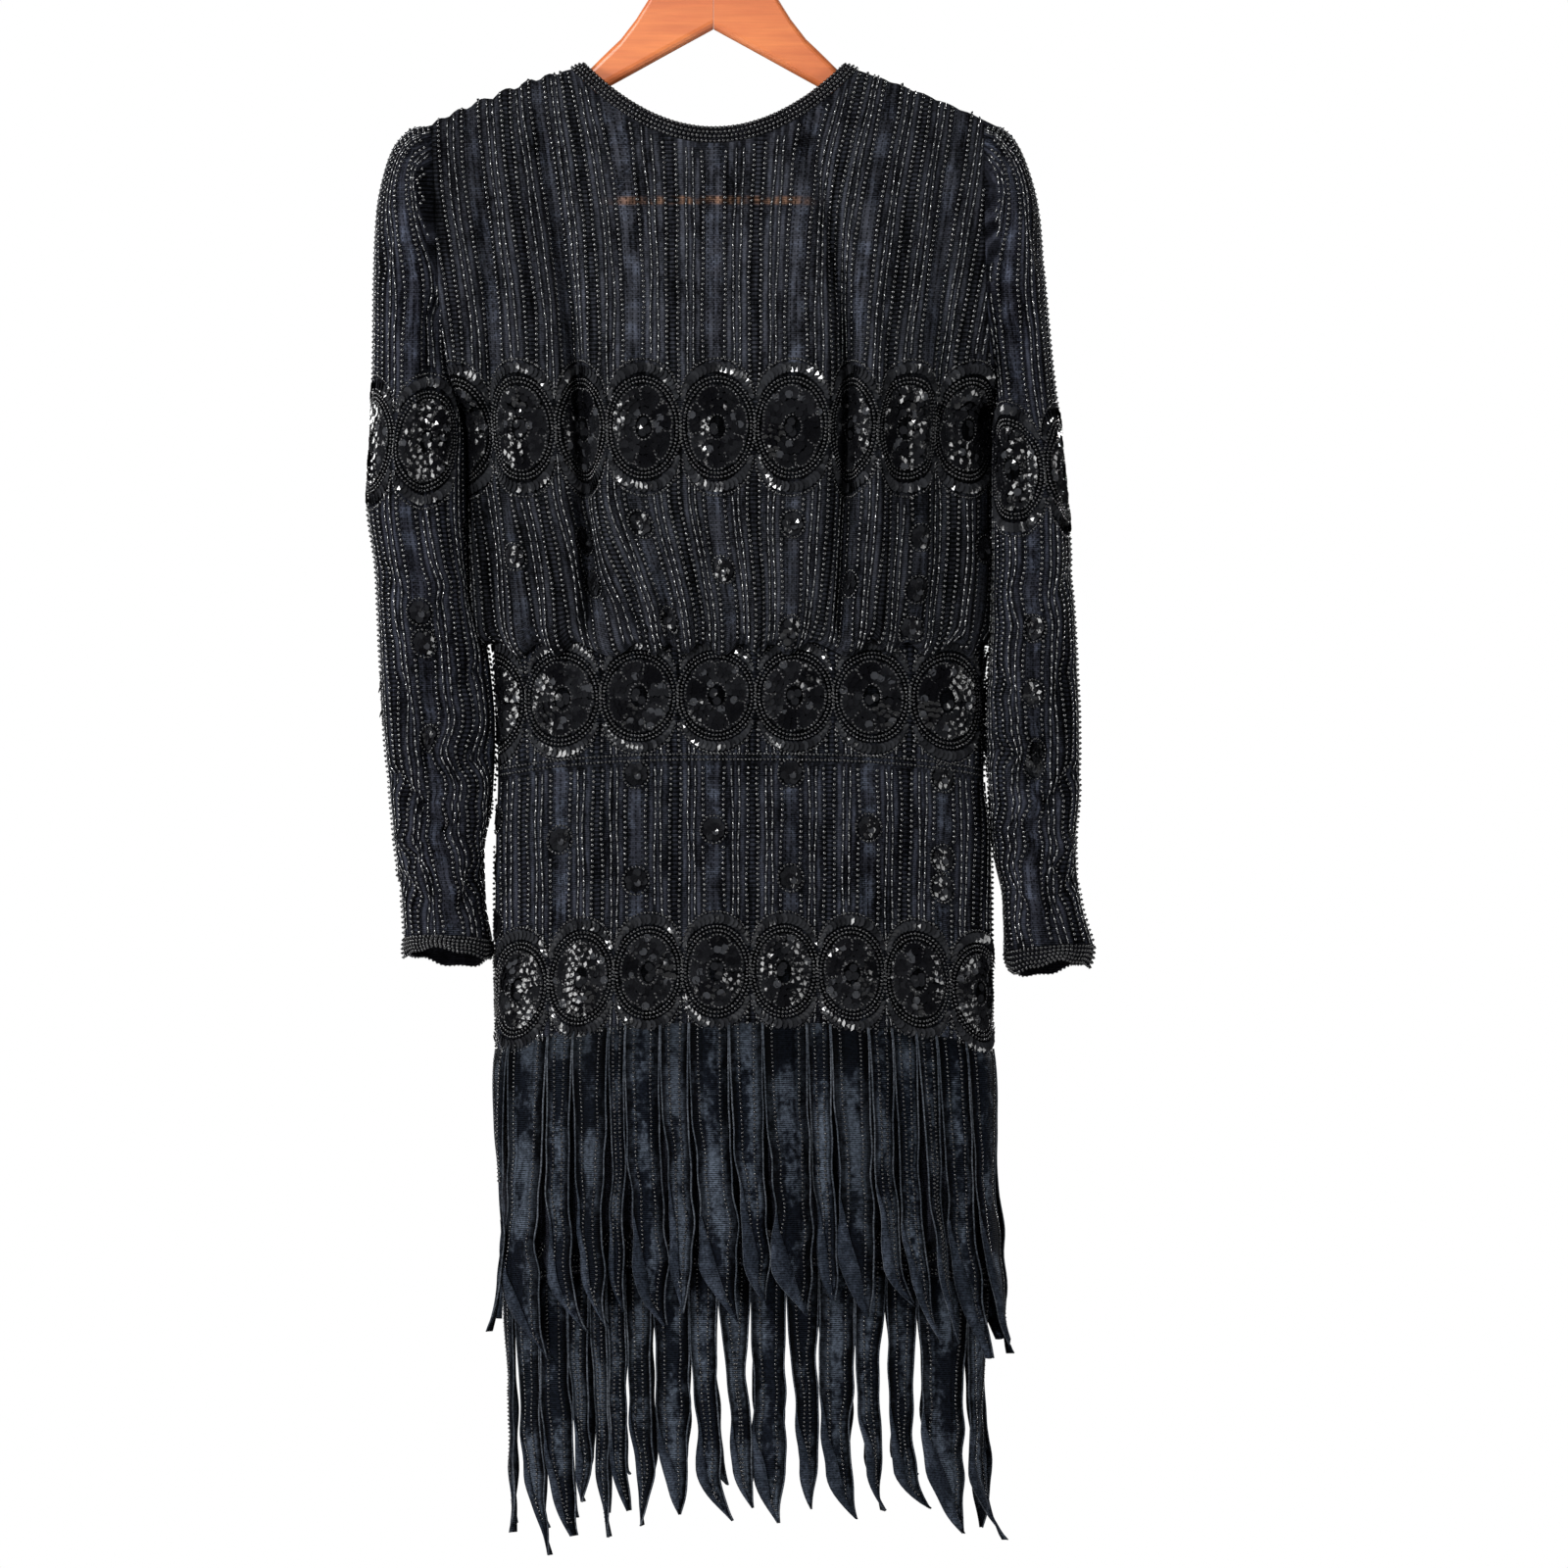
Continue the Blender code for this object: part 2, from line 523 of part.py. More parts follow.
def binding_point(face, along, across):
    x, z = neckline(face, along, across)
    left, right = read(BODICE, "left", z), read(BODICE, "right", z)
    point = bodice_point(face, (x - left) / (right - left), z)
    at_shoulder = np.abs(along) > 1 - 1e-6
    point[..., 1] = np.where(at_shoulder, 0.0, point[..., 1])
    return point


def add_neck_binding(look):
    """A band round the neck, from one side of the slit over both shoulders to the other side."""
    slit = BINDING_GAP / 2 / NECK_HALF
    back_half = np.array([slit] + list(NECK_STEPS[1:-1]))
    front = np.array([-s for s in NECK_STEPS[:0:-1]] + list(NECK_STEPS))
    columns_of = []
    for across in (0.0, 0.5, 1.0):
        left = binding_point(BACK, -back_half, across)
        middle = binding_point(FRONT, front, across)
        right = binding_point(BACK, back_half[::-1], across)
        columns_of.append(np.concatenate([left, middle, right]))
    grid = np.array(columns_of)
    wall("neck_binding", grid, grid_quads(3, grid.shape[1], 1), look, has_seams=False)


def nape_place(right, up, off):
    """A point off the binding's outer face at the back, right and up from the button's middle."""
    share = np.array([BUTTON_SHARE])
    top, low = binding_point(BACK, share, 0.0)[0], binding_point(BACK, share, 1.0)[0]
    down = (low - top) / np.linalg.norm(low - top)
    out = np.array([0.0, -down[2], down[1]])
    return (top + low) / 2 + np.array([right, 0.0, 0.0]) - down * up + out * (off + NAPE_LIFT)


def add_button(look):
    bm = bmesh.new()
    profile = [(0.55, 0.0), (0.9, 0.08), (1.0, 0.3), (0.94, 0.62), (0.6, 0.92)]
    rings = []
    sides = 16
    for radius, height in profile:
        ring = []
        for k in range(sides):
            turn = 2 * math.pi * k / sides
            reach = radius * BUTTON_RADIUS
            place = nape_place(reach * math.cos(turn), reach * math.sin(turn), height * BUTTON_HEIGHT)
            ring.append(bm.verts.new(place * MM))
        rings.append(ring)
    bm.faces.new(rings[0])
    bm.faces.new(rings[-1])
    for low, high in zip(rings, rings[1:]):
        for k in range(sides):
            bm.faces.new((low[k], low[(k + 1) % sides], high[(k + 1) % sides], high[k]))
    bmesh.ops.recalc_face_normals(bm, faces=bm.faces)
    mesh = bpy.data.meshes.new("neck_button")
    bm.to_mesh(mesh)
    bm.free()
    mesh.shade_smooth()
    mesh.set_sharp_from_angle(angle=math.radians(40))
    mesh.materials.append(look)
    bpy.context.scene.collection.objects.link(bpy.data.objects.new("neck_button", mesh))


def add_wire(name, points, radius, look, sides=2):
    """A round wire or cord along points in millimetres; sides is the curve's bevel resolution."""
    curve = bpy.data.curves.new(name, "CURVE")
    curve.dimensions = "3D"
    curve.bevel_depth = radius * MM
    curve.bevel_resolution = sides
    curve.use_fill_caps = True
    spline = curve.splines.new("POLY")
    spline.points.add(len(points) - 1)
    for place, point in zip(spline.points, points):
        place.co = (*(Vector(point) * MM), 1.0)
    curve.materials.append(look)
    bpy.context.scene.collection.objects.link(bpy.data.objects.new(name, curve))


def add_loop(look):
    """The button loop: an open ring round the button, its ends on the binding's right side."""
    points = [nape_place(LOOP_END, LOOP_SPREAD, LOOP_CORD)]
    for turn in np.radians(np.linspace(LOOP_OPENING, 360 - LOOP_OPENING, 15)):
        points.append(nape_place(LOOP_RADIUS * math.cos(turn), LOOP_RADIUS * math.sin(turn), LOOP_CORD))
    points.append(nape_place(LOOP_END, -LOOP_SPREAD, LOOP_CORD))
    add_wire("neck_loop", points, LOOP_CORD, look)


# ---------------------------------------------------------------- sleeves

def ring_points(ring, turns):
    """A ring from its outermost point over the front to its innermost point and round the back."""
    out = np.array([ring["out_x"], 0.0, ring["out_z"]])
    inner = np.array([ring["in_x"], 0.0, ring["in_z"]])
    cosine, sine = np.cos(turns), np.sin(turns)
    along = np.sign(cosine) * np.abs(cosine) ** (2 / SLEEVE_POWER)
    deep = np.sign(sine) * np.abs(sine) ** (2 / SLEEVE_POWER)
    depth = np.where(deep > 0, ring["front"], ring["back"])
    points = (out + inner) / 2 + (out - inner) / 2 * along[:, None]
    points[:, 1] = -deep * depth
    points[:, 2] += deep * ring["tilt"]
    return points


def ring_axis(ring):
    """The direction square to a ring."""
    along = np.array([ring["out_x"] - ring["in_x"], 0.0, ring["out_z"] - ring["in_z"]])
    deep = np.array([0.0, -(ring["front"] + ring["back"]) / 2, ring["tilt"]])
    axis = np.cross(along, deep)
    return axis / np.linalg.norm(axis)


def armhole_ring(side, turns):
    """The sleeve's first ring: the bodice's armhole, a seam's gap away."""
    edge = 0.0 if side == "left" else 1.0
    top = shoulder_line(BODICE[side][0])
    z = (top + UNDERARM_Z) / 2 + (top - UNDERARM_Z) / 2 * np.cos(turns)
    front = np.sin(turns) >= -1e-9
    points = np.where(front[:, None], bodice_point(FRONT, edge, z), bodice_point(BACK, edge, z))
    points[np.abs(np.sin(turns)) < 1e-9, 1] = 0.0
    points[:, 0] += (-1 if side == "left" else 1) * 1.5 * SEAM_GAP
    return points


def add_sleeve(side, look):
    turns = np.linspace(0, 2 * np.pi, SLEEVE_SIDES, endpoint=False)
    table = [dict(zip(RING_NAMES, row)) for row in SLEEVE_RINGS[side]]
    rings = [armhole_ring(side, turns)] + [ring_points(ring, turns) for ring in table]
    facing = 1 if side == "left" else -1
    quads = grid_quads(len(rings), SLEEVE_SIDES, facing, closed=True)
    across = np.zeros((len(rings), SLEEVE_SIDES, 3))
    across[0, np.arange(SLEEVE_SIDES) != SLEEVE_SIDES // 2, 0] = 1
    across[-1] = ring_axis(table[-1])
    wall(f"sleeve_{side}", np.array(rings), quads, look, has_seams=False, across=across)


def add_wrist_binding(side, look):
    turns = np.linspace(0, 2 * np.pi, SLEEVE_SIDES, endpoint=False)
    table = [dict(zip(RING_NAMES, row)) for row in WRIST_RINGS[side]]
    facing = 1 if side == "left" else -1
    quads = grid_quads(2, SLEEVE_SIDES, facing, closed=True)
    across = np.zeros((2, SLEEVE_SIDES, 3))
    across[0] = ring_axis(table[0])
    rings = np.array([ring_points(ring, turns) for ring in table])
    wall(f"wrist_binding_{side}", rings, quads, look, has_seams=False, across=across)


# ---------------------------------------------------------------- waistband, skirt, tiers

def strips_behind(strips):
    """The back's strips hang behind the front's: a little narrower, shorter and straighter."""
    rows = []
    for k, row in enumerate(strips):
        strip = dict(zip(STRIP_NAMES, row))
        for level in ("mid_", "low_"):
            if k > 0:
                strip[level + "left"] += BACK_INSET
            if k < len(strips) - 1:
                strip[level + "right"] -= BACK_INSET
        middle = (strip["low_left"] + strip["low_right"]) / 2
        tip = strip["tip"] + (middle - strip["tip"]) * BACK_TIP_SHARE
        strip["tip"] = min(max(tip, TIP_WIDTH), 1 - TIP_WIDTH)
        strip["tip_z"] += BACK_TIP_LIFT[k % len(BACK_TIP_LIFT)]
        rows.append(tuple(strip.values()))
    return tuple(rows)


def add_strips(name, face, strips, heights, look, tier_out=None):
    """A header with strips below it, side by side, in one wall."""
    table = columns(STRIP_NAMES, strips)

    def row(left, right, z):
        shares = np.stack([left, right], 1).ravel()
        z = np.broadcast_to(z, shares.shape)
        out = smooth(z, TIER["z"], TIER["out"]) if tier_out else 0.0
        return skirt_point(face, shares, z, out)

    tips = np.repeat(table["tip_z"], 2)
    half_tip = TIP_WIDTH / 2
    rows = [row(table["left"], table["right"], heights[0]),
            row(table["left"], table["right"], heights[1]),
            row(table["mid_left"], table["mid_right"], heights[2]),
            row(table["low_left"], table["low_right"], heights[3]),
            row(table["tip"] - half_tip, table["tip"] + half_tip, tips)]
    cols = 2 * len(strips)
    facing = -side_of(face)
    quads = grid_quads(len(rows), cols, facing)
    column = np.tile(np.arange(cols - 1), len(rows) - 1)
    level = np.repeat(np.arange(len(rows) - 1), cols - 1)
    quads = quads[(level == 0) | (column % 2 == 0)]
    wall(name, np.array(rows), quads, look)


def strip_columns(strips):
    """Places where the strips meet, so that the skirt under them has the same facets."""
    table = columns(STRIP_NAMES, strips)
    between = (table["right"][:-1] + table["left"][1:]) / 2
    return np.concatenate([[0.0], between, [1.0]])


def add_skirt_piece(name, face, shares, heights, look):
    grid = skirt_point(face, shares[None, :], np.array(heights)[:, None])
    wall(name, grid, grid_quads(len(heights), len(shares), -side_of(face)), look)


def add_lower_dress(bead_net, strip_cloth):
    for face in (FRONT, BACK):
        hip, hem = HIP_STRIPS, HEM_STRIPS
        if face == BACK:
            hip, hem = strips_behind(hip), strips_behind(hem)
        add_skirt_piece(f"waistband_{face}", face, bodice_shares(face), WAISTBAND_HEIGHTS, bead_net)
        add_skirt_piece(f"skirt_{face}", face, strip_columns(hip), SKIRT_HEIGHTS, bead_net)
        add_strips(f"upper_tier_{face}", face, hip, HIP_STRIP_HEIGHTS, strip_cloth, tier_out=True)
        add_strips(f"lower_tier_{face}", face, hem, HEM_STRIP_HEIGHTS, strip_cloth)


# ---------------------------------------------------------------- hanger

def arm_stations():
    stations = list(ARM_SHAPE)
    under_cloth = (CLOTH + ARM_GAP) * 1.07            # measured upright, on the slope
    for x, bottom in ARM_OUTER:
        top = float(shoulder_line(np.array(x))) - under_cloth
        if x == ARM_TIP_TOP[0]:
            top = ARM_TIP_TOP[1]
        stations.append((x, top, bottom))
    stations.append(ARM_TIP)
    return stations


def arm_section(top, bottom):
    """Round-edged section as (y, z), from the top's middle over the back and round."""
    points = []
    radius = min(ARM_HALF_THICKNESS, (top - bottom) / 2)
    for centre, start in ((top - radius, 0), (bottom + radius, 90)):
        for k in range(ARM_CORNER_STEPS + 1):
            turn = math.radians(start + 90 * k / ARM_CORNER_STEPS)
            points.append((ARM_HALF_THICKNESS * math.sin(turn), centre + radius * math.cos(turn)))
    mirrored = [(-y, z) for y, z in points[-2:0:-1]]
    return points + mirrored


def cutter(name, radius, start, end):
    """A round cutting tool from start to end, hidden from the finished model."""
    start, end = Vector(start), Vector(end)
    along = end - start
    bm = bmesh.new()
    turn = along.to_track_quat("Z", "Y").to_matrix().to_4x4()
    turn.translation = (start + end) / 2 * MM
    bmesh.ops.create_cone(bm, cap_ends=True, segments=20, radius1=radius * MM, radius2=radius * MM,
                          depth=along.length * MM, matrix=turn)
    mesh = bpy.data.meshes.new(name)
    bm.to_mesh(mesh)
    bm.free()
    made = bpy.data.objects.new(name, mesh)
    bpy.context.scene.collection.objects.link(made)
    made.hide_render = True
    made.display_type = "WIRE"
    return made


def cut(target, tool):
    step = target.modifiers.new(tool.name, "BOOLEAN")
    step.operation = "DIFFERENCE"
    step.object = tool


def add_arm(name, direction, look, hook_hole):
    points = []
    stations = arm_stations()
    for x, top, bottom in stations:
        points += [(direction * x, y, z) for y, z in arm_section(top, bottom)]
    round_count = len(arm_section(-100.0, -150.0))
    faces = []
    for s in range(len(stations) - 1):
        for k in range(round_count):
            n = (k + 1) % round_count
            a, b = s * round_count + k, s * round_count + n
            quad = (a, b, b + round_count, a + round_count)
            faces.append(quad if direction > 0 else quad[::-1])
    first = tuple(range(round_count))
    last = tuple(range(len(points) - round_count, len(points)))
    faces.append(first[::-1] if direction > 0 else first)
    faces.append(last if direction > 0 else last[::-1])
    arm = add_object(name, points, faces, look)
    bar_hole = cutter(f"{name}_bar_hole", BAR_RADIUS + BAR_SOCKET,
                      (direction * (BAR_END - 25), 0, BAR_Z),
                      (direction * (BAR_END + BAR_SOCKET), 0, BAR_Z))
    cut(arm, bar_hole)
    cut(arm, hook_hole)


def hook_route():
    """The wire's middle line: tip, arch, and the bend back to the shank on the hanger's middle."""
    centre_z = HOOK_WIRE - HOOK_BEND
    route = []
    turns = np.linspace(HOOK_TIP_ANGLE, HOOK_LEAVE_ANGLE, 27)
    for turn in np.radians(turns):
        route.append((HOOK_BEND * math.cos(turn), 0.0, centre_z + HOOK_BEND * math.sin(turn)))
    leave = np.array(route[-1])
    shank = np.array([0.0, 0.0, HOOK_SHANK_TOP - 8.0])
    pull = 9.0
    out_of_arch = np.array([-math.cos(math.radians(90 + HOOK_LEAVE_ANGLE)), 0.0,
                            -math.sin(math.radians(90 + HOOK_LEAVE_ANGLE))])
    for t in np.linspace(0, 1, 7)[1:]:
        a = leave
        b = leave + out_of_arch * pull
        c = shank + np.array([0.0, 0.0, pull])
        point = ((1 - t) ** 3 * a + 3 * (1 - t) ** 2 * t * b + 3 * (1 - t) * t ** 2 * c + t ** 3 * shank)
        route.append(tuple(point))
    route.append((0.0, 0.0, HOOK_SHANK_END))
    return route


def add_hanger(wood, steel):
    hook_hole = cutter("hook_hole", HOOK_WIRE + HOOK_CLEARANCE, (0, 0, HOOK_SHANK_END - HOOK_CLEARANCE),
                       (0, 0, HOOK_SHANK_TOP))
    add_arm("hanger_arm_left", -1, wood, hook_hole)
    add_arm("hanger_arm_right", 1, wood, hook_hole)
    add_wire("hanger_bar", [(-BAR_END, 0, BAR_Z), (BAR_END, 0, BAR_Z)], BAR_RADIUS, wood, sides=4)
    add_wire("hanger_hook", hook_route(), HOOK_WIRE, steel, sides=3)


# ---------------------------------------------------------------- the whole part

def clear_scene():
    for thing in list(bpy.data.objects):
        bpy.data.objects.remove(thing, do_unlink=True)


def main():
    clear_scene()
    bead_net = material("bead_net", (0.020, 0.022, 0.028), 0.42)
    strip_cloth = material("strip_cloth", (0.014, 0.016, 0.022), 0.55)
    bead_band = material("bead_band", (0.006, 0.006, 0.008), 0.25)
    button_cloth = material("button_cloth", (0.012, 0.012, 0.016), 0.5)
    wood = material("wood", (0.72, 0.33, 0.13), 0.38)
    steel = material("steel", (0.75, 0.75, 0.76), 0.2, metallic=1.0)
    add_bodice(bead_net)
    add_neck_binding(bead_band)
    add_button(button_cloth)
    add_loop(button_cloth)
    for side in ("left", "right"):
        add_sleeve(side, bead_net)
        add_wrist_binding(side, bead_band)
    add_lower_dress(bead_net, strip_cloth)
    add_hanger(wood, steel)


main()
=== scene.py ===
"""The looks of a black beaded evening dress with two tiers of pointed strips, on a wooden hanger.

Sizes are in millimetres, as in the CAD, and turn into metres where a mesh is made (MM). The cloth
has the CAD's own form, so the tables of sections below are the CAD's, apart from the sleeves' inner
edges and the skirt's top, which close the gap beside the waist, and finer folds are added to them.
Each face of cloth has a chart: u is the distance across it, measured along the cloth from the
middle of a stripe, and z is the height. Beads, bugles and sequins are placed by the chart, so they
follow the folds, and the cloth's material reads the same chart from its UV map.
"""

import math

import bpy
import numpy as np
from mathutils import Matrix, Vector


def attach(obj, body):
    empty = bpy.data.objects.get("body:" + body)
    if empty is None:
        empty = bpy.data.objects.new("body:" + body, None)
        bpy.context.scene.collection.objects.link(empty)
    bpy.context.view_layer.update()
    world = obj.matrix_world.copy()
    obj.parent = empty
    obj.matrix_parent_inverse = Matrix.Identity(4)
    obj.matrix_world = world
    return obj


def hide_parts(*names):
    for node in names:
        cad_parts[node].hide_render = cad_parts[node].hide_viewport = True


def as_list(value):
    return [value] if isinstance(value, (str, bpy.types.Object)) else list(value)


MM = 0.001
TINY = 1e-9
FRONT, BACK = "front", "back"
SIDES = ("left", "right")
SIGN = {FRONT: -1.0, BACK: 1.0, "left": -1.0, "right": 1.0}     # along y for a face, along x for a side

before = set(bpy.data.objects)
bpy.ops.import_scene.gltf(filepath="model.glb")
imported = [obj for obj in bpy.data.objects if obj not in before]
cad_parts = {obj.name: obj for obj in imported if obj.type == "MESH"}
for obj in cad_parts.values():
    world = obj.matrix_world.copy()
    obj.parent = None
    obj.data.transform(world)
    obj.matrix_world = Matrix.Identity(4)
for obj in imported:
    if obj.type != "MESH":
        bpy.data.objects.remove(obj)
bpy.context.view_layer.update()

# ---------------------------------------------------------------- reading tables


def columns(names, rows):
    """A table as one array for each named column."""
    return dict(zip(names.split(), np.array(rows, float).T))


def records(names, rows):
    """A table as one dictionary for each row."""
    return [dict(zip(names.split(), row)) for row in rows]


def smooth(at, xs, ys):
    """Cubic reading of a table, without overshoot. xs may rise or fall."""
    xs, ys = np.asarray(xs, float), np.asarray(ys, float)
    if xs[0] > xs[-1]:
        xs, ys = xs[::-1], ys[::-1]
    step = np.diff(xs)
    slope = np.diff(ys) / step
    tangent = np.zeros(len(xs))
    tangent[0], tangent[-1] = slope[0], slope[-1]
    before, after = slope[:-1], slope[1:]
    same = before * after > 0
    total = np.where(same, before + after, 1.0)
    tangent[1:-1] = np.where(same, 2 * before * after / total, 0.0)
    at = np.clip(np.asarray(at, float), xs[0], xs[-1])
    i = np.clip(np.searchsorted(xs, at) - 1, 0, len(xs) - 2)
    h = step[i]
    t = (at - xs[i]) / h
    return ((2 * t ** 3 - 3 * t ** 2 + 1) * ys[i] + (t ** 3 - 2 * t ** 2 + t) * h * tangent[i]
            + (3 * t ** 2 - 2 * t ** 3) * ys[i + 1] + (t ** 3 - t ** 2) * h * tangent[i + 1])


def read(table, name, z):
    return smooth(z, table["z"], table[name])


def soft(t):
    return t * t * (3 - 2 * t)


def step_between(value, start, end):
    """0 at start and 1 at end, with soft ends."""
    return soft(np.clip((value - start) / (end - start), 0, 1))


def lerp(a, b, t):
    return a + (b - a) * t


def unit(vectors):
    return vectors / np.maximum(np.linalg.norm(vectors, axis=-1, keepdims=True), TINY)


def around(count):
    return np.linspace(0, 2 * np.pi, count, endpoint=False)


# ---------------------------------------------------------------- the cloth's form, as in the CAD
SEAM_GAP = 0.08          # finer than the CAD's, so that no light shows through a seam
CLOTH, STRIP_CLOTH, TURNED_CLOTH = 0.9, 0.7, 0.5         # the shells' thickness here
SECTION_POWER, SLEEVE_POWER = 2.4, 2.2
SHOULDER_Z, SHOULDER_X = -147.6, 102.0
SHOULDER_SLOPE, SHOULDER_BEND = 0.343, 0.0006
CROWN = 30.0
WRAP_RADIUS = 9.5
TENT_HEIGHT, TENT_POWER = 240.0, 1.3
NECK_X, NECK_HALF = 0.7, 94.8
NECK_DROP = {FRONT: 48.2, BACK: 50.5}
BINDING_WIDTH, BINDING_LOW, BINDING_GAP = 10.6, 12.2, 2.0
SLIT_DEPTH = 125.0
UNDERARM_Z, ARMHOLE_WIDEST_Z = -399.6, -290.0

BODICE = columns("z left right front back", (
    (-188, -206.6, 198, 50, 42), (-212.4, -205.2, 198, 50, 42), (-247, -203, 198, 50, 42),
    (-298.8, -200.2, 198.7, 51, 43), (-356.4, -194.4, 201.6, 53, 45), (-399.6, -185.8, 204, 54, 46),
    (-421.2, -180.9, 203.4, 54, 46), (-457.2, -180, 203, 54, 46), (-529.2, -178.6, 204, 54, 45),
    (-558, -177.1, 204, 54, 45), (-568.8, -172.1, 202.6, 51, 43), (-573.6, -165.5, 200.2, 48.3, 41.9),
    (-575.3, -161, 198.6, 45.4, 40.3), (-575.32, -157.8, 197.4, 42.8, 38.8),
))
BLOUSE_TURN = (-563.0, -566.0, -568.8, -571.4, -573.6, -574.8, -575.30, -575.32)
SKIRT = columns("z left right front back drop", (
    (-568, -162, 199.4, 42, 38, 0), (-612, -158.9, 198.6, 42, 38, 6),
    (-657.4, -158.4, 198.4, 43, 39, 12), (-702, -159.8, 203.8, 47, 43, 14),
    (-774, -160.6, 204.5, 50, 46, 18), (-860.4, -158.4, 204.5, 52, 47, 22),
    (-939.6, -155.5, 203, 52, 47, 22), (-1022.4, -154.1, 201.6, 51, 46, 20),
    (-1105.2, -149.8, 198.7, 50, 45, 14), (-1177.2, -147.6, 198.7, 49, 44, 8),
    (-1240, -145.4, 198.7, 48, 44, 0),
))
WAIST_TOP, WAIST_BOTTOM = -568.0, -656.8
SKIRT_TOP, SKIRT_BOTTOM = -657.4, -1022.0
TIER = columns("z out", (
    (-846, 0.9), (-859, 2.4), (-903.6, 4.6), (-939.6, 6), (-1007.3, 10), (-1062, 13.5), (-1090, 14.5),
))

# pointed strips: where a strip starts and ends at three heights, and its tip, in thousandths of the width
STRIP_NAMES = "left right mid_left mid_right low_left low_right tip tip_z"
HIP_STRIP_HEIGHTS = (-846.0, -872.0, -950.0, -1020.0)
HIP_STRIPS = records(STRIP_NAMES, (
    (0, 28, 10, 32, 22, 40, 20, -1056), (30, 108, 28, 106, 24, 112, 118, -1083),
    (110, 160, 109, 164, 118, 176, 205, -1064), (162, 231, 167, 234, 180, 236, 240, -1063),
    (233, 264, 237, 270, 240, 276, 266, -1052), (266, 333, 273, 340, 282, 352, 352, -1063),
    (335, 390, 343, 398, 358, 408, 385, -1054), (392, 469, 401, 478, 412, 488, 490, -1060),
    (471, 536, 481, 542, 492, 546, 540, -1046), (538, 623, 545, 628, 551, 632, 618, -1056),
    (625, 670, 631, 674, 636, 676, 668, -1045), (672, 745, 677, 748, 680, 750, 731, -1056),
    (747, 792, 751, 794, 754, 800, 820, -1046), (794, 841, 797, 846, 806, 856, 868, -1071),
    (843, 881, 850, 886, 862, 894, 905, -1070), (883, 941, 890, 944, 899, 948, 960, -1078),
    (943, 1000, 948, 1002, 956, 1006, 1010, -1074),
))
HEM_STRIP_HEIGHTS = (-1022.6, -1032.0, -1105.0, -1170.0)
HEM_STRIPS = records(STRIP_NAMES, (
    (0, 22, 0, 20, 2, 22, 4, -1218), (24, 75, 23, 72, 28, 76, 80, -1234),
    (77, 134, 76, 131, 82, 132, 140, -1218), (136, 180, 136, 176, 140, 178, 162, -1192),
    (182, 216, 180, 214, 182, 214, 205, -1219), (218, 254, 218, 250, 219, 248, 250, -1199),
    (256, 308, 257, 306, 262, 308, 276, -1210), (310, 384, 313, 382, 322, 378, 356, -1202),
    (386, 442, 387, 438, 396, 446, 470, -1206), (444, 510, 461, 502, 466, 508, 512, -1197),
    (512, 582, 512, 580, 514, 580, 562, -1208), (584, 650, 595, 646, 606, 644, 636, -1198),
    (652, 722, 650, 720, 662, 718, 722, -1205), (724, 786, 728, 780, 742, 782, 782, -1199),
    (788, 850, 796, 846, 800, 852, 880, -1197), (852, 955, 864, 951, 870, 950, 946, -1217),
    (957, 1000, 962, 1000, 968, 1010, 1040, -1226),
))
BACK_INSET, BACK_TIP_SHARE, TIP_WIDTH = 3.0, 0.35, 4.0
BACK_TIP_LIFT = (4.0, 12.0, 2.0, 9.0, 5.0, 14.0, 3.0, 8.0, 11.0)
STRIP_GAP, HEM_STRIP_GAP, HALF_LEAST = 0.0042, 0.0012, 0.004      # shares of the width
STRIP_ROWS, STRIP_COLUMNS = 38, 8
STRIP_LIFTS = (2.4, 0.2, 1.5)       # neighbours hang at different depths
CORD_RADIUS, CORD_SIDES, CORD_OUT, SEEDS_FROM_CORD = 0.62, 5, 0.3, 6.2

RINGS = "out_x out_z in_x in_z front back tilt"
SLEEVE_RINGS = {
    "left": columns(RINGS, (
        (-222, -192.8, -186.6, -402, 33, 31, 0), (-233, -205, -185.6, -405, 36, 33, 0),
        (-241, -227, -184, -411, 39, 35, 0), (-246.2, -256, -182.4, -420, 41, 37, 0),
        (-248.4, -306, -181.4, -434, 42, 39, 0), (-249.1, -366, -180.6, -455, 42, 40, 0),
        (-251.5, -425, -180.2, -482, 42, 40, 0), (-253.4, -468, -179.8, -505, 41, 40, 0),
        (-247.4, -515, -179.2, -532, 40, 39, 0), (-244.6, -575, -165.2, -580, 38, 38, 0),
        (-241.6, -632, -160.4, -635, 37, 36, 0), (-237.6, -676, -162, -680, 36, 35, 1),
        (-233.5, -720, -169.6, -722, 34, 33, 2), (-228.6, -758, -168.6, -758, 33, 33, 4),
        (-226.6, -787, -163.6, -789, 33, 33, 5),
    )),
    "right": columns(RINGS, (
        (210, -191, 205.4, -402, 33, 31, 0), (219, -199, 206, -405, 36, 33, 0),
        (229.5, -221, 206.2, -411, 39, 35, 0), (237.4, -252, 205.8, -420, 41, 37, 0),
        (242.6, -306, 205, -434, 42, 39, 0), (248.2, -366, 204.4, -455, 42, 40, 0),
        (255.4, -425, 204.2, -482, 42, 40, 0), (259.6, -468, 204.4, -505, 41, 40, 0),
        (262.2, -515, 205, -532, 40, 39, 0), (266, -575, 203.2, -580, 38, 38, 0),
        (268.4, -632, 200.2, -635, 37, 36, 0), (268.6, -676, 202.6, -680, 36, 35, 1),
        (265.6, -718, 206, -722, 34, 33, 2), (269.4, -758, 213.6, -758, 33, 33, 3),
        (279, -792, 214.4, -797, 32, 33, 4),
    )),
}
RING_COUNT = len(SLEEVE_RINGS["left"]["out_x"])
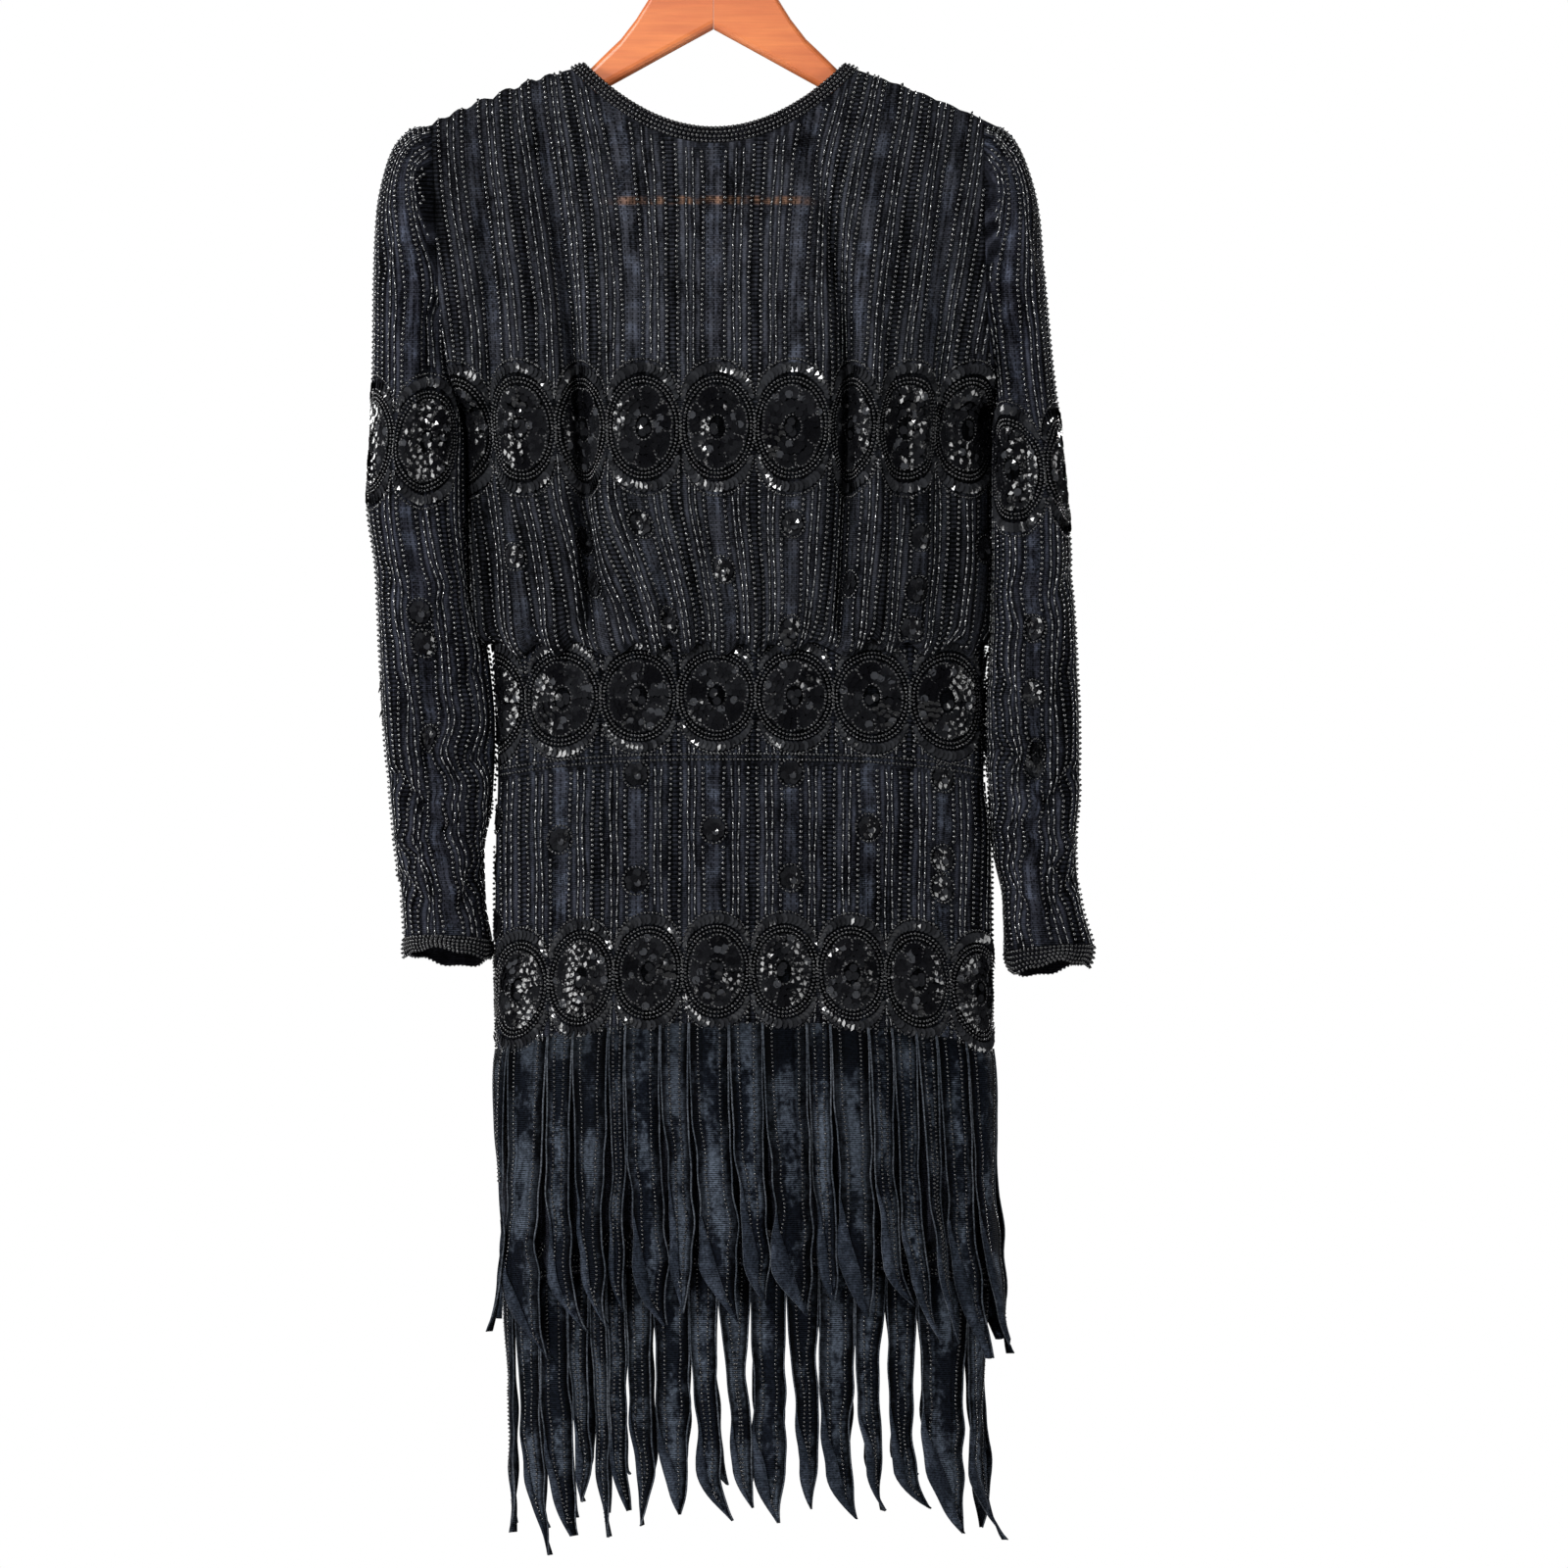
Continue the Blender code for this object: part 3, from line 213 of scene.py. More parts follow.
WRIST_RINGS = {
    "left": records(RINGS, (
        (-226.6, -787.5, -163.6, -789.5, 33, 33, 5), (-225, -798.5, -163.8, -801.5, 32, 33.5, 6),
    )),
    "right": records(RINGS, (
        (279, -792.5, 214.4, -797.5, 32, 33, 4), (274, -805, 218, -811.5, 30, 33, 4),
    )),
}

# ---------------------------------------------------------------- folds
# Troughs and ridges that run down a face. The first ones are the CAD's; a ridge has a negative depth.
FOLD_NAMES = "x_top x_mid x_low z_top z_mid z_low half_width depth"
FOLDS = {
    FRONT: records(FOLD_NAMES, (
        (-171, -162, -160, -215, -365, -560, 8, 15), (-126, -100, -88, -200, -365, -560, 8, 20),
        (-60, -46, -30, -250, -350, -450, 10, 2.5), (-15, 3, 30, -430, -520, -590, 10, 4.5),
        (74, 98, 94, -210, -365, -560, 8, 20), (124, 130, 131, -330, -440, -565, 7, 9),
        (167, 165, 160, -215, -365, -560, 8, 15), (-110, -111, -112, -640, -780, -1030, 14, 4),
        (-32, -31, -30, -640, -780, -1030, 16, 4.5), (22, 24, 26, -640, -780, -1030, 12, 4),
        (76, 74, 72, -640, -780, -1030, 13, 4.5), (138, 138, 140, -640, -780, -1030, 14, 5),
        # the scene's own, finer ones
        (-185, -178, -174, -240, -330, -420, 5, 2.5), (-150, -144, -140, -215, -330, -450, 6, -3),
        (-87, -87, -87, -385, -420, -457, 6, 5), (-108, -80, -64, -205, -300, -390, 7, -4),
        (-73, -60, -49, -246, -300, -356, 6, 3), (110, 119, 122, -215, -320, -480, 7, -5),
        (136, 142, 147, -225, -330, -470, 5, 4), (152, 154, 154, -240, -370, -500, 5, -3),
        (185, 184, 182, -240, -380, -520, 6, -3), (-106.6, -72.7, -39.6, -457, -534, -567, 6, 4.5),
        (-54, -43, -34.6, -491, -522, -549, 5, 3), (-135, -114, -92, -472, -529, -569, 6, 3.5),
        (-164, -142, -121, -479, -536, -572, 6, 3), (58, 64, 70, -480, -530, -570, 5, 2.5),
        (108, 106, 102, -470, -525, -569, 6, -3), (167, 163, 158, -500, -540, -570, 6, 3.5),
        (-70, -72, -73, -650, -730, -850, 9, -1.6), (50, 49, 50, -650, -740, -860, 9, -1.6),
        (108, 108, 107, -650, -760, -880, 8, -1.8), (170, 171, 172, -650, -760, -900, 8, 2.2),
        (-142, -141, -140, -655, -760, -860, 7, 2.4),
    )),
    BACK: records(FOLD_NAMES, (
        (-150, -136, -128, -215, -380, -560, 10, 8), (-72, -62, -58, -240, -400, -570, 12, 6),
        (66, 70, 76, -230, -390, -565, 11, 6.5), (150, 146, 140, -215, -380, -560, 10, 8),
        (-88, -90, -94, -640, -800, -1030, 15, 4.5), (-10, -8, -8, -650, -800, -1030, 14, 4),
        (60, 62, 66, -640, -790, -1030, 16, 5), (130, 132, 134, -640, -800, -1030, 13, 4),
        # the scene's own, finer ones
        (-178, -170, -166, -230, -330, -460, 6, 4), (-112, -102, -96, -230, -330, -440, 7, -3),
        (-38, -30, -26, -300, -380, -470, 7, 2.5), (26, 31, 36, -310, -400, -500, 6, 2.5),
        (108, 112, 112, -225, -330, -450, 7, -3.5), (176, 174, 170, -240, -350, -480, 6, 4),
        (-128, -112, -92, -470, -530, -569, 6, 3.5), (-30, -18, -6, -470, -530, -569, 6, 3.5),
        (44, 38, 26, -480, -530, -569, 6, 3), (112, 104, 92, -475, -530, -569, 6, 3),
        (168, 160, 150, -480, -530, -569, 6, 3), (-130, -131, -132, -655, -760, -870, 8, 2.4),
        (-48, -47, -46, -650, -740, -860, 9, -1.8), (98, 98, 97, -650, -740, -860, 9, -1.8),
        (168, 169, 170, -655, -770, -900, 8, 2.2),
    )),
}
FOLD_END = 45.0
# how far under the shoulders folds reach their depth, above the hem they end, and at a skirt's two ends
FOLD_START, FOLD_LEAST, RIM, SKIRT_FADE = (4.0, 60.0), 0.45, 20.0, 40.0
# gathers where the bodice is drawn in above the waist
GATHER_TOP, GATHER_FULL, GATHER_DEPTH, GATHER_LENGTH = -440.0, -540.0, 3.3, 29.0
GATHER_SAG, SAG_END = 1.6, -572.0
# small puffs along the shoulder seam, where the panel is eased in
PUFF_LENGTH, PUFF_FADE, PUFF_INNER, PUFF_OUTER, PUFF_TURN = 15.5, 34.0, 100.0, 135.0, 8.0
PUFF_LEFT, PUFF_RIGHT = (5.0, 0.15), (1.6, 0.5)       # each side's height, and what is taken off it
# creases on a sleeve: lines from one point to another, seen from the front, and their depth
CREASE_NAMES = "x_a z_a x_b z_b half_width depth"
CREASES = {
    "left": records(CREASE_NAMES, (
        (-208, -205, -226, -330, 5, 3), (-216, -205, -240, -300, 4, 2.5),
        (-205, -330, -214, -520, 7, 7), (-226, -430, -230, -560, 5, -2.5),
        (-196, -540, -212, -660, 6, 5.5), (-236, -520, -204, -560, 6, 3.5),
        (-172, -590, -200, -622, 5, 4.5), (-228, -600, -205, -668, 6, 5),
        (-176, -655, -214, -690, 5, 5.5), (-232, -668, -196, -706, 5, 5.5),
        (-182, -700, -222, -728, 5, 5.5), (-225, -712, -186, -748, 5, -4),
        (-230, -740, -200, -772, 5, 4.5), (-174, -738, -190, -775, 5, 4.5),
        (-204, -735, -208, -786, 5, 4),
    )),
    "right": records(CREASE_NAMES, (
        (212, -205, 228, -330, 5, 3), (216, -205, 238, -290, 4, 2.5), (222, -340, 232, -520, 7, 7),
        (246, -420, 250, -560, 5, -2.5), (228, -540, 238, -650, 6, 5.5),
        (262, -520, 232, -558, 6, 3.5), (210, -596, 236, -626, 5, 4.5), (256, -590, 236, -668, 6, 5),
        (214, -648, 246, -690, 5, 5.5), (262, -664, 232, -704, 5, 5.5), (216, -700, 252, -734, 5, 5.5),
        (258, -716, 226, -752, 5, -4), (264, -742, 238, -776, 5, 4.5), (222, -752, 238, -790, 5, 4.5),
        (240, -738, 252, -790, 5, 4),
    )),
}
CREASE_BACK_X, CREASE_BACK_Z = 9.0, 24.0       # how far the back's creases are displaced
CREASE_DEEP, LOWER_ARM = 20.0, (600.0, 690.0)  # they fade at the sides, and grow down the lower arm

# ---------------------------------------------------------------- stripes, bands and flowers
PANEL_X = 0.9            # the middle of the middle panel
BODICE_PERIOD, SKIRT_PERIOD, SLEEVE_PERIOD = 59.6, 57.0, 58.0
SEED_LINES = (0.130, 0.434, 0.566, 0.870)                 # shares of a period, from a panel's middle
BUGLE_LINES = (0.240, 0.320, 0.680, 0.760)
# pitch and radius of beads: large in stripes, smaller and closer in rings, on the strips and in bindings
SEED_PITCH, SEED_RADIUS = 3.85, 1.38
RING_PITCH, RING_SEED_RADIUS = 2.75, 1.15
STRIP_PITCH, STRIP_SEED_RADIUS = 3.0, 1.05
BINDING_PITCH, BINDING_SEED_RADIUS = 3.2, 1.4
BUGLE_LENGTH, BUGLE_PITCH, BUGLE_RADIUS = 6.6, 7.8, 0.75
SEQUIN_RADIUS = 3.1
WANDER = 0.5             # how far a hand-laid line strays
# a stripe's first places below its top, closer than the rest so that it starts where the cloth does
NEAR_TOP, LINE_STEP = (0.0, 0.05, 0.2, 0.5, 1.0, 1.8, 3.0, 4.5, 6.5, 9.0), 3.0
# the stripes lean outwards towards the shoulders, most at 70 mm from the middle
LEAN_AT, LEAN_TO = (0.0, 40.0, 70.0, 125.0, 210.0), (0.0, 9.0, 20.0, 12.0, 6.0)
LEAN_TOP, LEAN_END = -168.0, -330.0
# and are drawn to the right where the front blouses over the waist, and less on the back
SWAG_AT, SWAG_TO = (-210.0, -150.0, -90.0, 0.0, 60.0, 120.0, 210.0), (0.0, 8.0, 25.0, 14.0, 8.0, 0.0, 0.0)
SWAG_TOP, SWAG_LOW, SWAG_BACK = -458.0, -568.0, -0.6

# a medallion: its double ring's half-width and half-height, and the crescents above and below it
BANDS = {row["name"]: row for row in records("name z pitch half_width half_height crescent first", (
    ("bodice", -415.0, 54.4, 27.7, 36.4, 12.0, 2.7),
    ("waistband", -609.0, 56.5, 28.7, 31.5, 9.0, 2.0),
    ("skirt", -808.5, 50.2, 25.7, 32.5, 9.5, 2.0),
    ("sleeve_left", -424.0, 52.0, 26.4, 36.0, 12.0, 20.0),
    ("sleeve_right", -444.0, 52.0, 26.4, 36.0, 12.0, 20.0),
    ("hem", -985.0, 50.2, 25.0, 27.0, 0.0, 2.0),
))}
HEM_ROWS, HEM_ENDS_Z = (-1016.5, -1019.5), -1010.0
DOUBLE_RING, PETAL_INSET, PETALS = 3.0, 5.9, 7
PETAL_LINE = 0.86        # where the line between two petals starts, as a share of the way out
HEART_RING = (7.0, 9.2)
FAN_ROWS = (0.40, 0.58, 0.76, 0.92)        # rows of sequins, as shares of the petals' reach
SEQUIN_PITCH, TILE_PITCH = 4.6, 3.5
FLOWER_RADIUS = 11.0
# flowers on the front: (x, z) as seen, each moved to the middle of the panel it is nearest
BODICE_FLOWERS = ((-45, -485), (55, -485), (9, -518), (-73, -528), (-22, -555), (61, -560), (104, -528),
                  (151, -532), (129, -563), (-111, -496), (-166, -508), (132, -494), (192, -501))
SKIRT_FLOWERS = ((-52, -665), (45, -665), (145, -662), (-104, -708), (-5, -706), (95, -703), (172, -720),
                 (-54, -742), (50, -741), (143, -741), (-148, -686), (-148, -760))
SLEEVE_FLOWERS = {"left": ((-211, -548), (-188, -571), (-190, -489), (-238, -620), (-205, -640)),
                  "right": ((228, -607), (250, -560), (216, -560), (252, -650), (222, -660))}
SEEDS = {"bodice_front": 11, "bodice_back": 12, "neck_binding": 21, "sleeve_left": 31, "sleeve_right": 32,
         "wrist_binding_left": 41, "wrist_binding_right": 42, "waistband_front": 51, "waistband_back": 52,
         "skirt_front": 61, "skirt_back": 62, "upper_tier_front": 71, "lower_tier_front": 73,
         "upper_tier_back": 81, "lower_tier_back": 83}

# ---------------------------------------------------------------- surfaces


def section(share):
    place = np.clip(np.abs(2 * share - 1), 0, 1)
    return (1 - place ** SECTION_POWER) ** (1 / SECTION_POWER)


def shoulder_line(x):
    reach = np.sqrt(x ** 2 + CROWN ** 2) - math.sqrt(SHOULDER_X ** 2 + CROWN ** 2)
    return SHOULDER_Z - SHOULDER_SLOPE * reach - SHOULDER_BEND * np.maximum(reach, 0) ** 2


def neckline(face, along, across):
    half = NECK_HALF + BINDING_WIDTH * across
    corner = shoulder_line(NECK_X + half * np.sign(along + TINY))
    lowest = shoulder_line(NECK_X + NECK_HALF) - NECK_DROP[face] - BINDING_LOW * across
    return NECK_X + half * along, lerp(corner, lowest, 1 - along ** 2)


def wrap(below):
    left = WRAP_RADIUS - np.clip(below, 0, WRAP_RADIUS)
    return np.sqrt(WRAP_RADIUS ** 2 - left ** 2)


def tent(below):
    return 1 - (1 - np.clip(below / TENT_HEIGHT, 0, 1)) ** TENT_POWER


def armhole_share(z):
    s = np.clip((ARMHOLE_WIDEST_Z - z) / (ARMHOLE_WIDEST_Z - UNDERARM_Z), 0, 1)
    return np.sqrt(1 - s ** 2)


def folds(face, x, z):
    total = 0.0
    for fold in FOLDS[face]:
        top, low = fold["z_top"], fold["z_low"]
        path = smooth(z, (top, fold["z_mid"], low), (fold["x_top"], fold["x_mid"], fold["x_low"]))
        end = min(FOLD_END, (top - low) / 3)
        fade = soft(np.clip(np.minimum(top + end - z, z - low + end) / end, 0, 1))
        total = total - fold["depth"] * fade * np.exp(-((x - path) / fold["half_width"]) ** 2)
    return total


def gathers(x, z):
    """Waves across the bodice, kept uneven by two slower ones."""
    uneven = 1.6 * np.sin(x / 31.0) + 0.9 * np.sin(x / 12.7 + z / 60.0)
    wave = np.sin(2 * np.pi * x / GATHER_LENGTH + uneven)
    return GATHER_DEPTH * step_between(z, GATHER_TOP, GATHER_FULL) * wave


def puffs(x, below):
    """How far the shoulder's puffs stand out, which fade down the panel."""
    side = np.abs(x - NECK_X)
    wave = np.abs(np.cos(np.pi * (side + 2.5 * np.sin(side / 17.0)) / PUFF_LENGTH))
    puff = np.where(x < 0, PUFF_LEFT[0] * (wave - PUFF_LEFT[1]), PUFF_RIGHT[0] * (wave - PUFF_RIGHT[1]))
    return puff * step_between(side, PUFF_INNER, PUFF_OUTER) * np.exp(-below / PUFF_FADE)


def bodice_point(face, share, z):
    x = lerp(read(BODICE, "left", z), read(BODICE, "right", z), share)
    below = np.maximum(shoulder_line(x) - z, 0)
    full = wrap(below) + (read(BODICE, face, z) - WRAP_RADIUS) * tent(below)
    bulge = section(share)
    depth = full * lerp(bulge, 1.0, armhole_share(z))
    rim = np.clip((z - BODICE["z"][-1]) / RIM, 0, 1)
    reach = np.maximum(tent(below), FOLD_LEAST * step_between(below, *FOLD_START))
    gather = gathers(x, z)
    depth += (folds(face, x, z) + gather) * bulge * reach * rim
    puff, upward = puffs(x, below) * bulge ** 0.5, np.exp(-below / PUFF_TURN)
    depth += puff * (1 - upward)
    height = z + puff * upward - GATHER_SAG * gather * step_between(z, GATHER_FULL, SAG_END)
    return np.stack([x, SIGN[face] * np.maximum(depth, SEAM_GAP / 2), height], -1)


def skirt_point(face, share, z, out=0.0):
    x = lerp(read(SKIRT, "left", z) - out, read(SKIRT, "right", z) + out, share)
    ends = np.clip(np.minimum(z - SKIRT["z"][-1], SKIRT_TOP - z) / SKIRT_FADE, 0, 1)
    depth = (read(SKIRT, face, z) + out + folds(face, x, z) * ends) * section(share)
    return np.stack([x, SIGN[face] * np.maximum(depth, SEAM_GAP / 2),
                     z - read(SKIRT, "drop", z) * np.abs(2 * share - 1) ** 3], -1)


def ring_points(ring, turns):
    """Rings from their outermost points over the front to the innermost and round the back."""
    waves = np.cos(turns), np.sin(turns)
    along, deep = (np.sign(wave) * np.abs(wave) ** (2 / SLEEVE_POWER) for wave in waves)
    x, z = (lerp(ring["in_" + axis], ring["out_" + axis], (1 + along) / 2) for axis in "xz")
    return np.stack([x, -deep * np.where(deep > 0, ring["front"], ring["back"]), z + deep * ring["tilt"]], -1)


def armhole_ring(side, turns):
    z = lerp(UNDERARM_Z, shoulder_line(BODICE[side][0]), (1 + np.cos(turns)) / 2)
    front, back = (bodice_point(face, (1 + SIGN[side]) / 2, z) for face in (FRONT, BACK))
    points = np.where(np.sin(turns)[..., None] >= -TINY, front, back)
    points[np.abs(np.sin(turns)) < TINY, 1] = 0.0
    points[..., 0] += SIGN[side] * 1.5 * SEAM_GAP
    return points


def grid_normals(points, facing, closed=False):
    """Normals of a grid of points, rows first; closed joins the last column to the first."""
    if closed:
        across = np.roll(points, -1, axis=1) - np.roll(points, 1, axis=1)
    else:
        across = np.gradient(points, axis=1)
    return unit(facing * np.cross(across, -np.gradient(points, axis=0)))


def creases(side, points):
    """How far a sleeve's creases move it out at each point; the back has them a little displaced."""
    x, y, z = np.moveaxis(points, -1, 0)
    at = np.stack([x + np.where(y > 0, CREASE_BACK_X, 0.0), z + np.where(y > 0, CREASE_BACK_Z, 0.0)], -1)
    total = 0.0
    for crease in CREASES[side]:
        start, end = (np.array([crease["x_" + letter], crease["z_" + letter]]) for letter in "ab")
        line = end - start
        t = np.clip((at - start) @ line / (line @ line), 0, 1)
        far = np.linalg.norm(at - start - t[..., None] * line, axis=-1)
        total = total - crease["depth"] * np.exp(-(far / crease["half_width"]) ** 2)
    return total * np.clip(np.abs(y) / CREASE_DEEP, 0, 1) * (1 + 0.35 * step_between(-z, *LOWER_ARM))


def sleeve_grid(side, turns, steps):
    """A sleeve's outer skin: rows of rings from the armhole (step 0) to the wrist."""
    steps = np.asarray(steps)[:, None]
    ring = {name: smooth(np.maximum(steps - 1, 0), np.arange(RING_COUNT), column)
            for name, column in SLEEVE_RINGS[side].items()}
    share = np.clip(1 - steps, 0, 1)[..., None]
    points = lerp(ring_points(ring, turns[None, :]), armhole_ring(side, turns)[None], share)
    inside = np.clip(steps, 0, 1) * np.clip(RING_COUNT - steps, 0, 1)
    return points + grid_normals(points, -SIGN[side]) * (creases(side, points) * inside)[..., None]


# ---------------------------------------------------------------- charts

EASE, SLEEVE_EASE = 28.0, 5.0     # how far up and down a fold's spare cloth is eased into the stripes
CHART_COLUMNS = 261


class Chart:
    """A cloth face read by distance across (u) and height (z).

    point(place, z) is the surface, and places the range of place over which u is measured along the
    cloth. u is 0 where zero(row of points) says. shift(u, z) moves the stripes sideways."""

    def __init__(self, point, places, heights, zero, period, facing, shift=None, inside=None, ease=EASE):
        self.point, self.places, self.heights = point, places, heights
        self.period, self.facing, self.shift, self.inside = period, facing, shift, inside
        grid = point(places[None, :], heights[:, None])
        run = np.linalg.norm(np.diff(grid, axis=1), axis=2)
        near = np.exp(-((heights[:, None] - heights[None, :]) / ease) ** 2 / 2)
        run = near @ run / near.sum(axis=1, keepdims=True)
        u = np.concatenate([np.zeros((len(heights), 1)), np.cumsum(run, axis=1)], axis=1)
        self.u = u - np.array([zero(points, row) for points, row in zip(grid, u)])[:, None]
        self.span = 2 * (self.u.max() - self.u.min())

    def rows_at(self, z):
        row = np.interp(-np.asarray(z, float), -self.heights, np.arange(len(self.heights)))
        first = np.minimum(row.astype(int), len(self.heights) - 2)
        return first, row - first

    def invert(self, row, u):
        """The place at distance u in a row, and whether the row reaches that far."""
        flat = (self.u + self.span * np.arange(len(self.u))[:, None]).ravel()
        at = np.searchsorted(flat, u + self.span * row) - row * len(self.places)
        c = np.clip(at, 1, len(self.places) - 1)
        low, high = self.u[row, c - 1], self.u[row, c]
        t = np.clip((u - low) / np.maximum(high - low, TINY), 0, 1)
        return lerp(self.places[c - 1], self.places[c], t), (at > 0) & (at < len(self.places))

    def at(self, u, z):
        """Points and outward normals at stripe distance u and height z, and whether cloth is there."""
        u, z = np.broadcast_arrays(np.asarray(u, float), np.asarray(z, float))
        moved = u + (self.shift(u, z) if self.shift else 0.0)
        first, t = self.rows_at(z)
        (low, ok_low), (high, ok_high) = self.invert(first, moved), self.invert(first + 1, moved)
        place = lerp(low, high, t)
        points = self.point(place, z)
        step = (self.places[-1] - self.places[0]) / 2000
        before, after = (np.clip(place + s, self.places[0], self.places[-1]) for s in (-step, step))
        across = self.point(after, z) - self.point(before, z)
        down = self.point(place, z - 0.4) - self.point(place, z + 0.4)
        ok = ok_low & ok_high
        if self.inside:
            ok &= self.inside(points, z)
        return points, unit(self.facing * np.cross(across, -down)), ok

    def across(self, place, z):
        """The stripe distance of a place on the surface."""
        first, t = self.rows_at(z)
        c = np.interp(place, self.places, np.arange(len(self.places)))
        left = np.minimum(c.astype(int), len(self.places) - 2)
        rows = [lerp(self.u[r, left], self.u[r, left + 1], c - left) for r in (first, first + 1)]
        moved = u = lerp(*rows, t)
        for _ in range(8 if self.shift else 0):
            u = moved - self.shift(u, z)
        return u

    def ends(self, z):
        """How far the face reaches at a height, as two stripe distances."""
        return self.across(self.places[[0, -1]], np.array([z, z]))


def bodice_shift(face):
    def shift(u, z):
        top = np.clip((z - LEAN_END) / (LEAN_TOP - LEAN_END), 0, 1.15)
        lean = np.sign(u) * smooth(np.abs(u), LEAN_AT, LEAN_TO) * top ** 2
        drawn = smooth(u if face == FRONT else -u, SWAG_AT, SWAG_TO) * step_between(z, SWAG_TOP, SWAG_LOW)
        return lean + drawn * (1 if face == FRONT else SWAG_BACK)
    return shift


def bodice_inside(face):
    def inside(points, z):
        x = points[..., 0]
        along = (x - NECK_X) / (NECK_HALF + BINDING_WIDTH + 2.0)
        neck = neckline(face, np.clip(along, -1, 1), 1.0)[1] - 2.0
        return (z < shoulder_line(x) + 0.01) & ((np.abs(along) > 1) | (z < neck))
    return inside


def panel_chart(point, face, heights, period, *limits):
    """The chart of a whole face of the bodice or skirt, from its left edge to its right."""
    return Chart(lambda share, z: point(face, share, z), np.linspace(0, 1, CHART_COLUMNS), heights,
                 lambda points, u: np.interp(PANEL_X, points[:, 0], u), period, -SIGN[face], *limits)


def skirt_chart(face, top, bottom):
    return panel_chart(skirt_point, face, np.linspace(top, bottom, int((top - bottom) / 3)), SKIRT_PERIOD)


class SleeveSkin:
    """A sleeve's skin read by turn and height, from a fine grid."""

    ROW_STEP = 2.0

    def __init__(self, side):
        self.turns = np.linspace(-np.pi, np.pi, 121)
        steps = np.linspace(0, RING_COUNT, 181)
        rings = sleeve_grid(side, self.turns, steps)
        fall = np.maximum.accumulate(-rings[..., 2] + 1e-6 * np.arange(len(steps))[:, None], axis=0)
        self.heights = np.arange(-190.0, -802.0, -self.ROW_STEP)
        self.points = np.empty((len(self.heights), len(self.turns), 3))
        for c in range(len(self.turns)):
            for k in range(3):
                self.points[:, c, k] = np.interp(-self.heights, fall[:, c], rings[:, c, k])

    def point(self, turn, z):
        turn, z = np.broadcast_arrays(turn, z)
        c = (turn - self.turns[0]) / (self.turns[1] - self.turns[0])
        r = (self.heights[0] - z) / self.ROW_STEP
        c0 = np.clip(c.astype(int), 0, len(self.turns) - 2)
        r0 = np.clip(r.astype(int), 0, len(self.heights) - 2)
        s, t = np.clip(c - c0, 0, 1)[..., None], np.clip(r - r0, 0, 1)[..., None]
        upper, lower = (lerp(self.points[row, c0], self.points[row, c0 + 1], s) for row in (r0, r0 + 1))
        return lerp(upper, lower, t)

    def chart(self, side):
        middle = len(self.turns) // 2

        def drawn_in(u, z):
            return -u * 0.5 * step_between(z, -320.0, -205.0)

        def inside(points, z):
            return np.abs(points[..., 2] - z) < 0.6

        return Chart(self.point, self.turns, self.heights, lambda points, u: u[middle], SLEEVE_PERIOD,
                     -SIGN[side], drawn_in, inside, SLEEVE_EASE)


# ---------------------------------------------------------------- meshes

MADE = {}      # each cloth's name: the cloth, and the beads sewn to it


def add_mesh(name, vertices, faces, looks, smooth_shading=True, uv=None, looks_of=None, values=(),
             normals=None):
    """An object from arrays: vertices in millimetres, faces all with the same number of corners.

    values gives the points named attributes, which a material reads."""
    mesh = bpy.data.meshes.new(name)
    vertices = np.asarray(vertices, np.float32) * np.float32(MM)
    faces = np.asarray(faces, np.int32)
    mesh.vertices.add(len(vertices))
    mesh.vertices.foreach_set("co", vertices.ravel())
    mesh.loops.add(faces.size)
    mesh.loops.foreach_set("vertex_index", faces.ravel())
    mesh.polygons.add(len(faces))
    mesh.polygons.foreach_set("loop_start", np.arange(0, faces.size, faces.shape[1], dtype=np.int32))
    if uv is not None:
        layer = mesh.uv_layers.new(name="UVMap")
        layer.data.foreach_set("uv", np.asarray(uv, np.float32)[faces.ravel()].ravel())
    for title, numbers in values:
        mesh.attributes.new(title, "FLOAT", "POINT").data.foreach_set("value", np.float32(numbers))
    mesh.update(calc_edges=True)
    if smooth_shading:
        mesh.shade_smooth()
    else:
        mesh.shade_flat()
    if normals is not None:
        mesh.normals_split_custom_set_from_vertices(normals)
    for look in looks:
        mesh.materials.append(look)
    if looks_of is not None:
        mesh.polygons.foreach_set("material_index", np.asarray(looks_of, np.int32))
    made = bpy.data.objects.new(name, mesh)
    bpy.context.scene.collection.objects.link(made)
    return made


def grid_quads(rows, cols, facing, closed=False):
    r, c = np.meshgrid(np.arange(rows - 1), np.arange(cols if closed else cols - 1), indexing="ij")
    n = (c + 1) % cols
    quads = np.stack([r * cols + c, (r + 1) * cols + c, (r + 1) * cols + n, r * cols + n], -1)
    quads = quads.reshape(-1, 4)
    return quads if facing > 0 else quads[:, ::-1]


def halved(quads):
    return np.vstack([quads[:, [0, 1, 2]], quads[:, [0, 2, 3]]])


def shell(grid, normals, facing, thickness, closed=False):
    """A closed thin shell from an outer skin: the skin, its back and the rim between them."""
    quads = grid_quads(*grid.shape[:2], facing, closed)
    points, normals = grid.reshape(-1, 3), normals.reshape(-1, 3)
    edges = np.stack([quads, np.roll(quads, -1, axis=1)], -1).reshape(-1, 2)
    big = quads.max() + 1
    rim = edges[~np.isin(edges @ [big, 1], edges @ [1, big])]       # edges that only one quad has
    rim_quads = np.hstack([rim[:, ::-1], rim + len(points)])
    return (np.vstack([points, points - normals * thickness]),
            np.vstack([quads, quads[:, ::-1] + len(points), rim_quads]))


def finish_cloth(name, cloth, beads):
    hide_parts(name)
    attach(cloth, "root")
    MADE[name] = cloth, beads


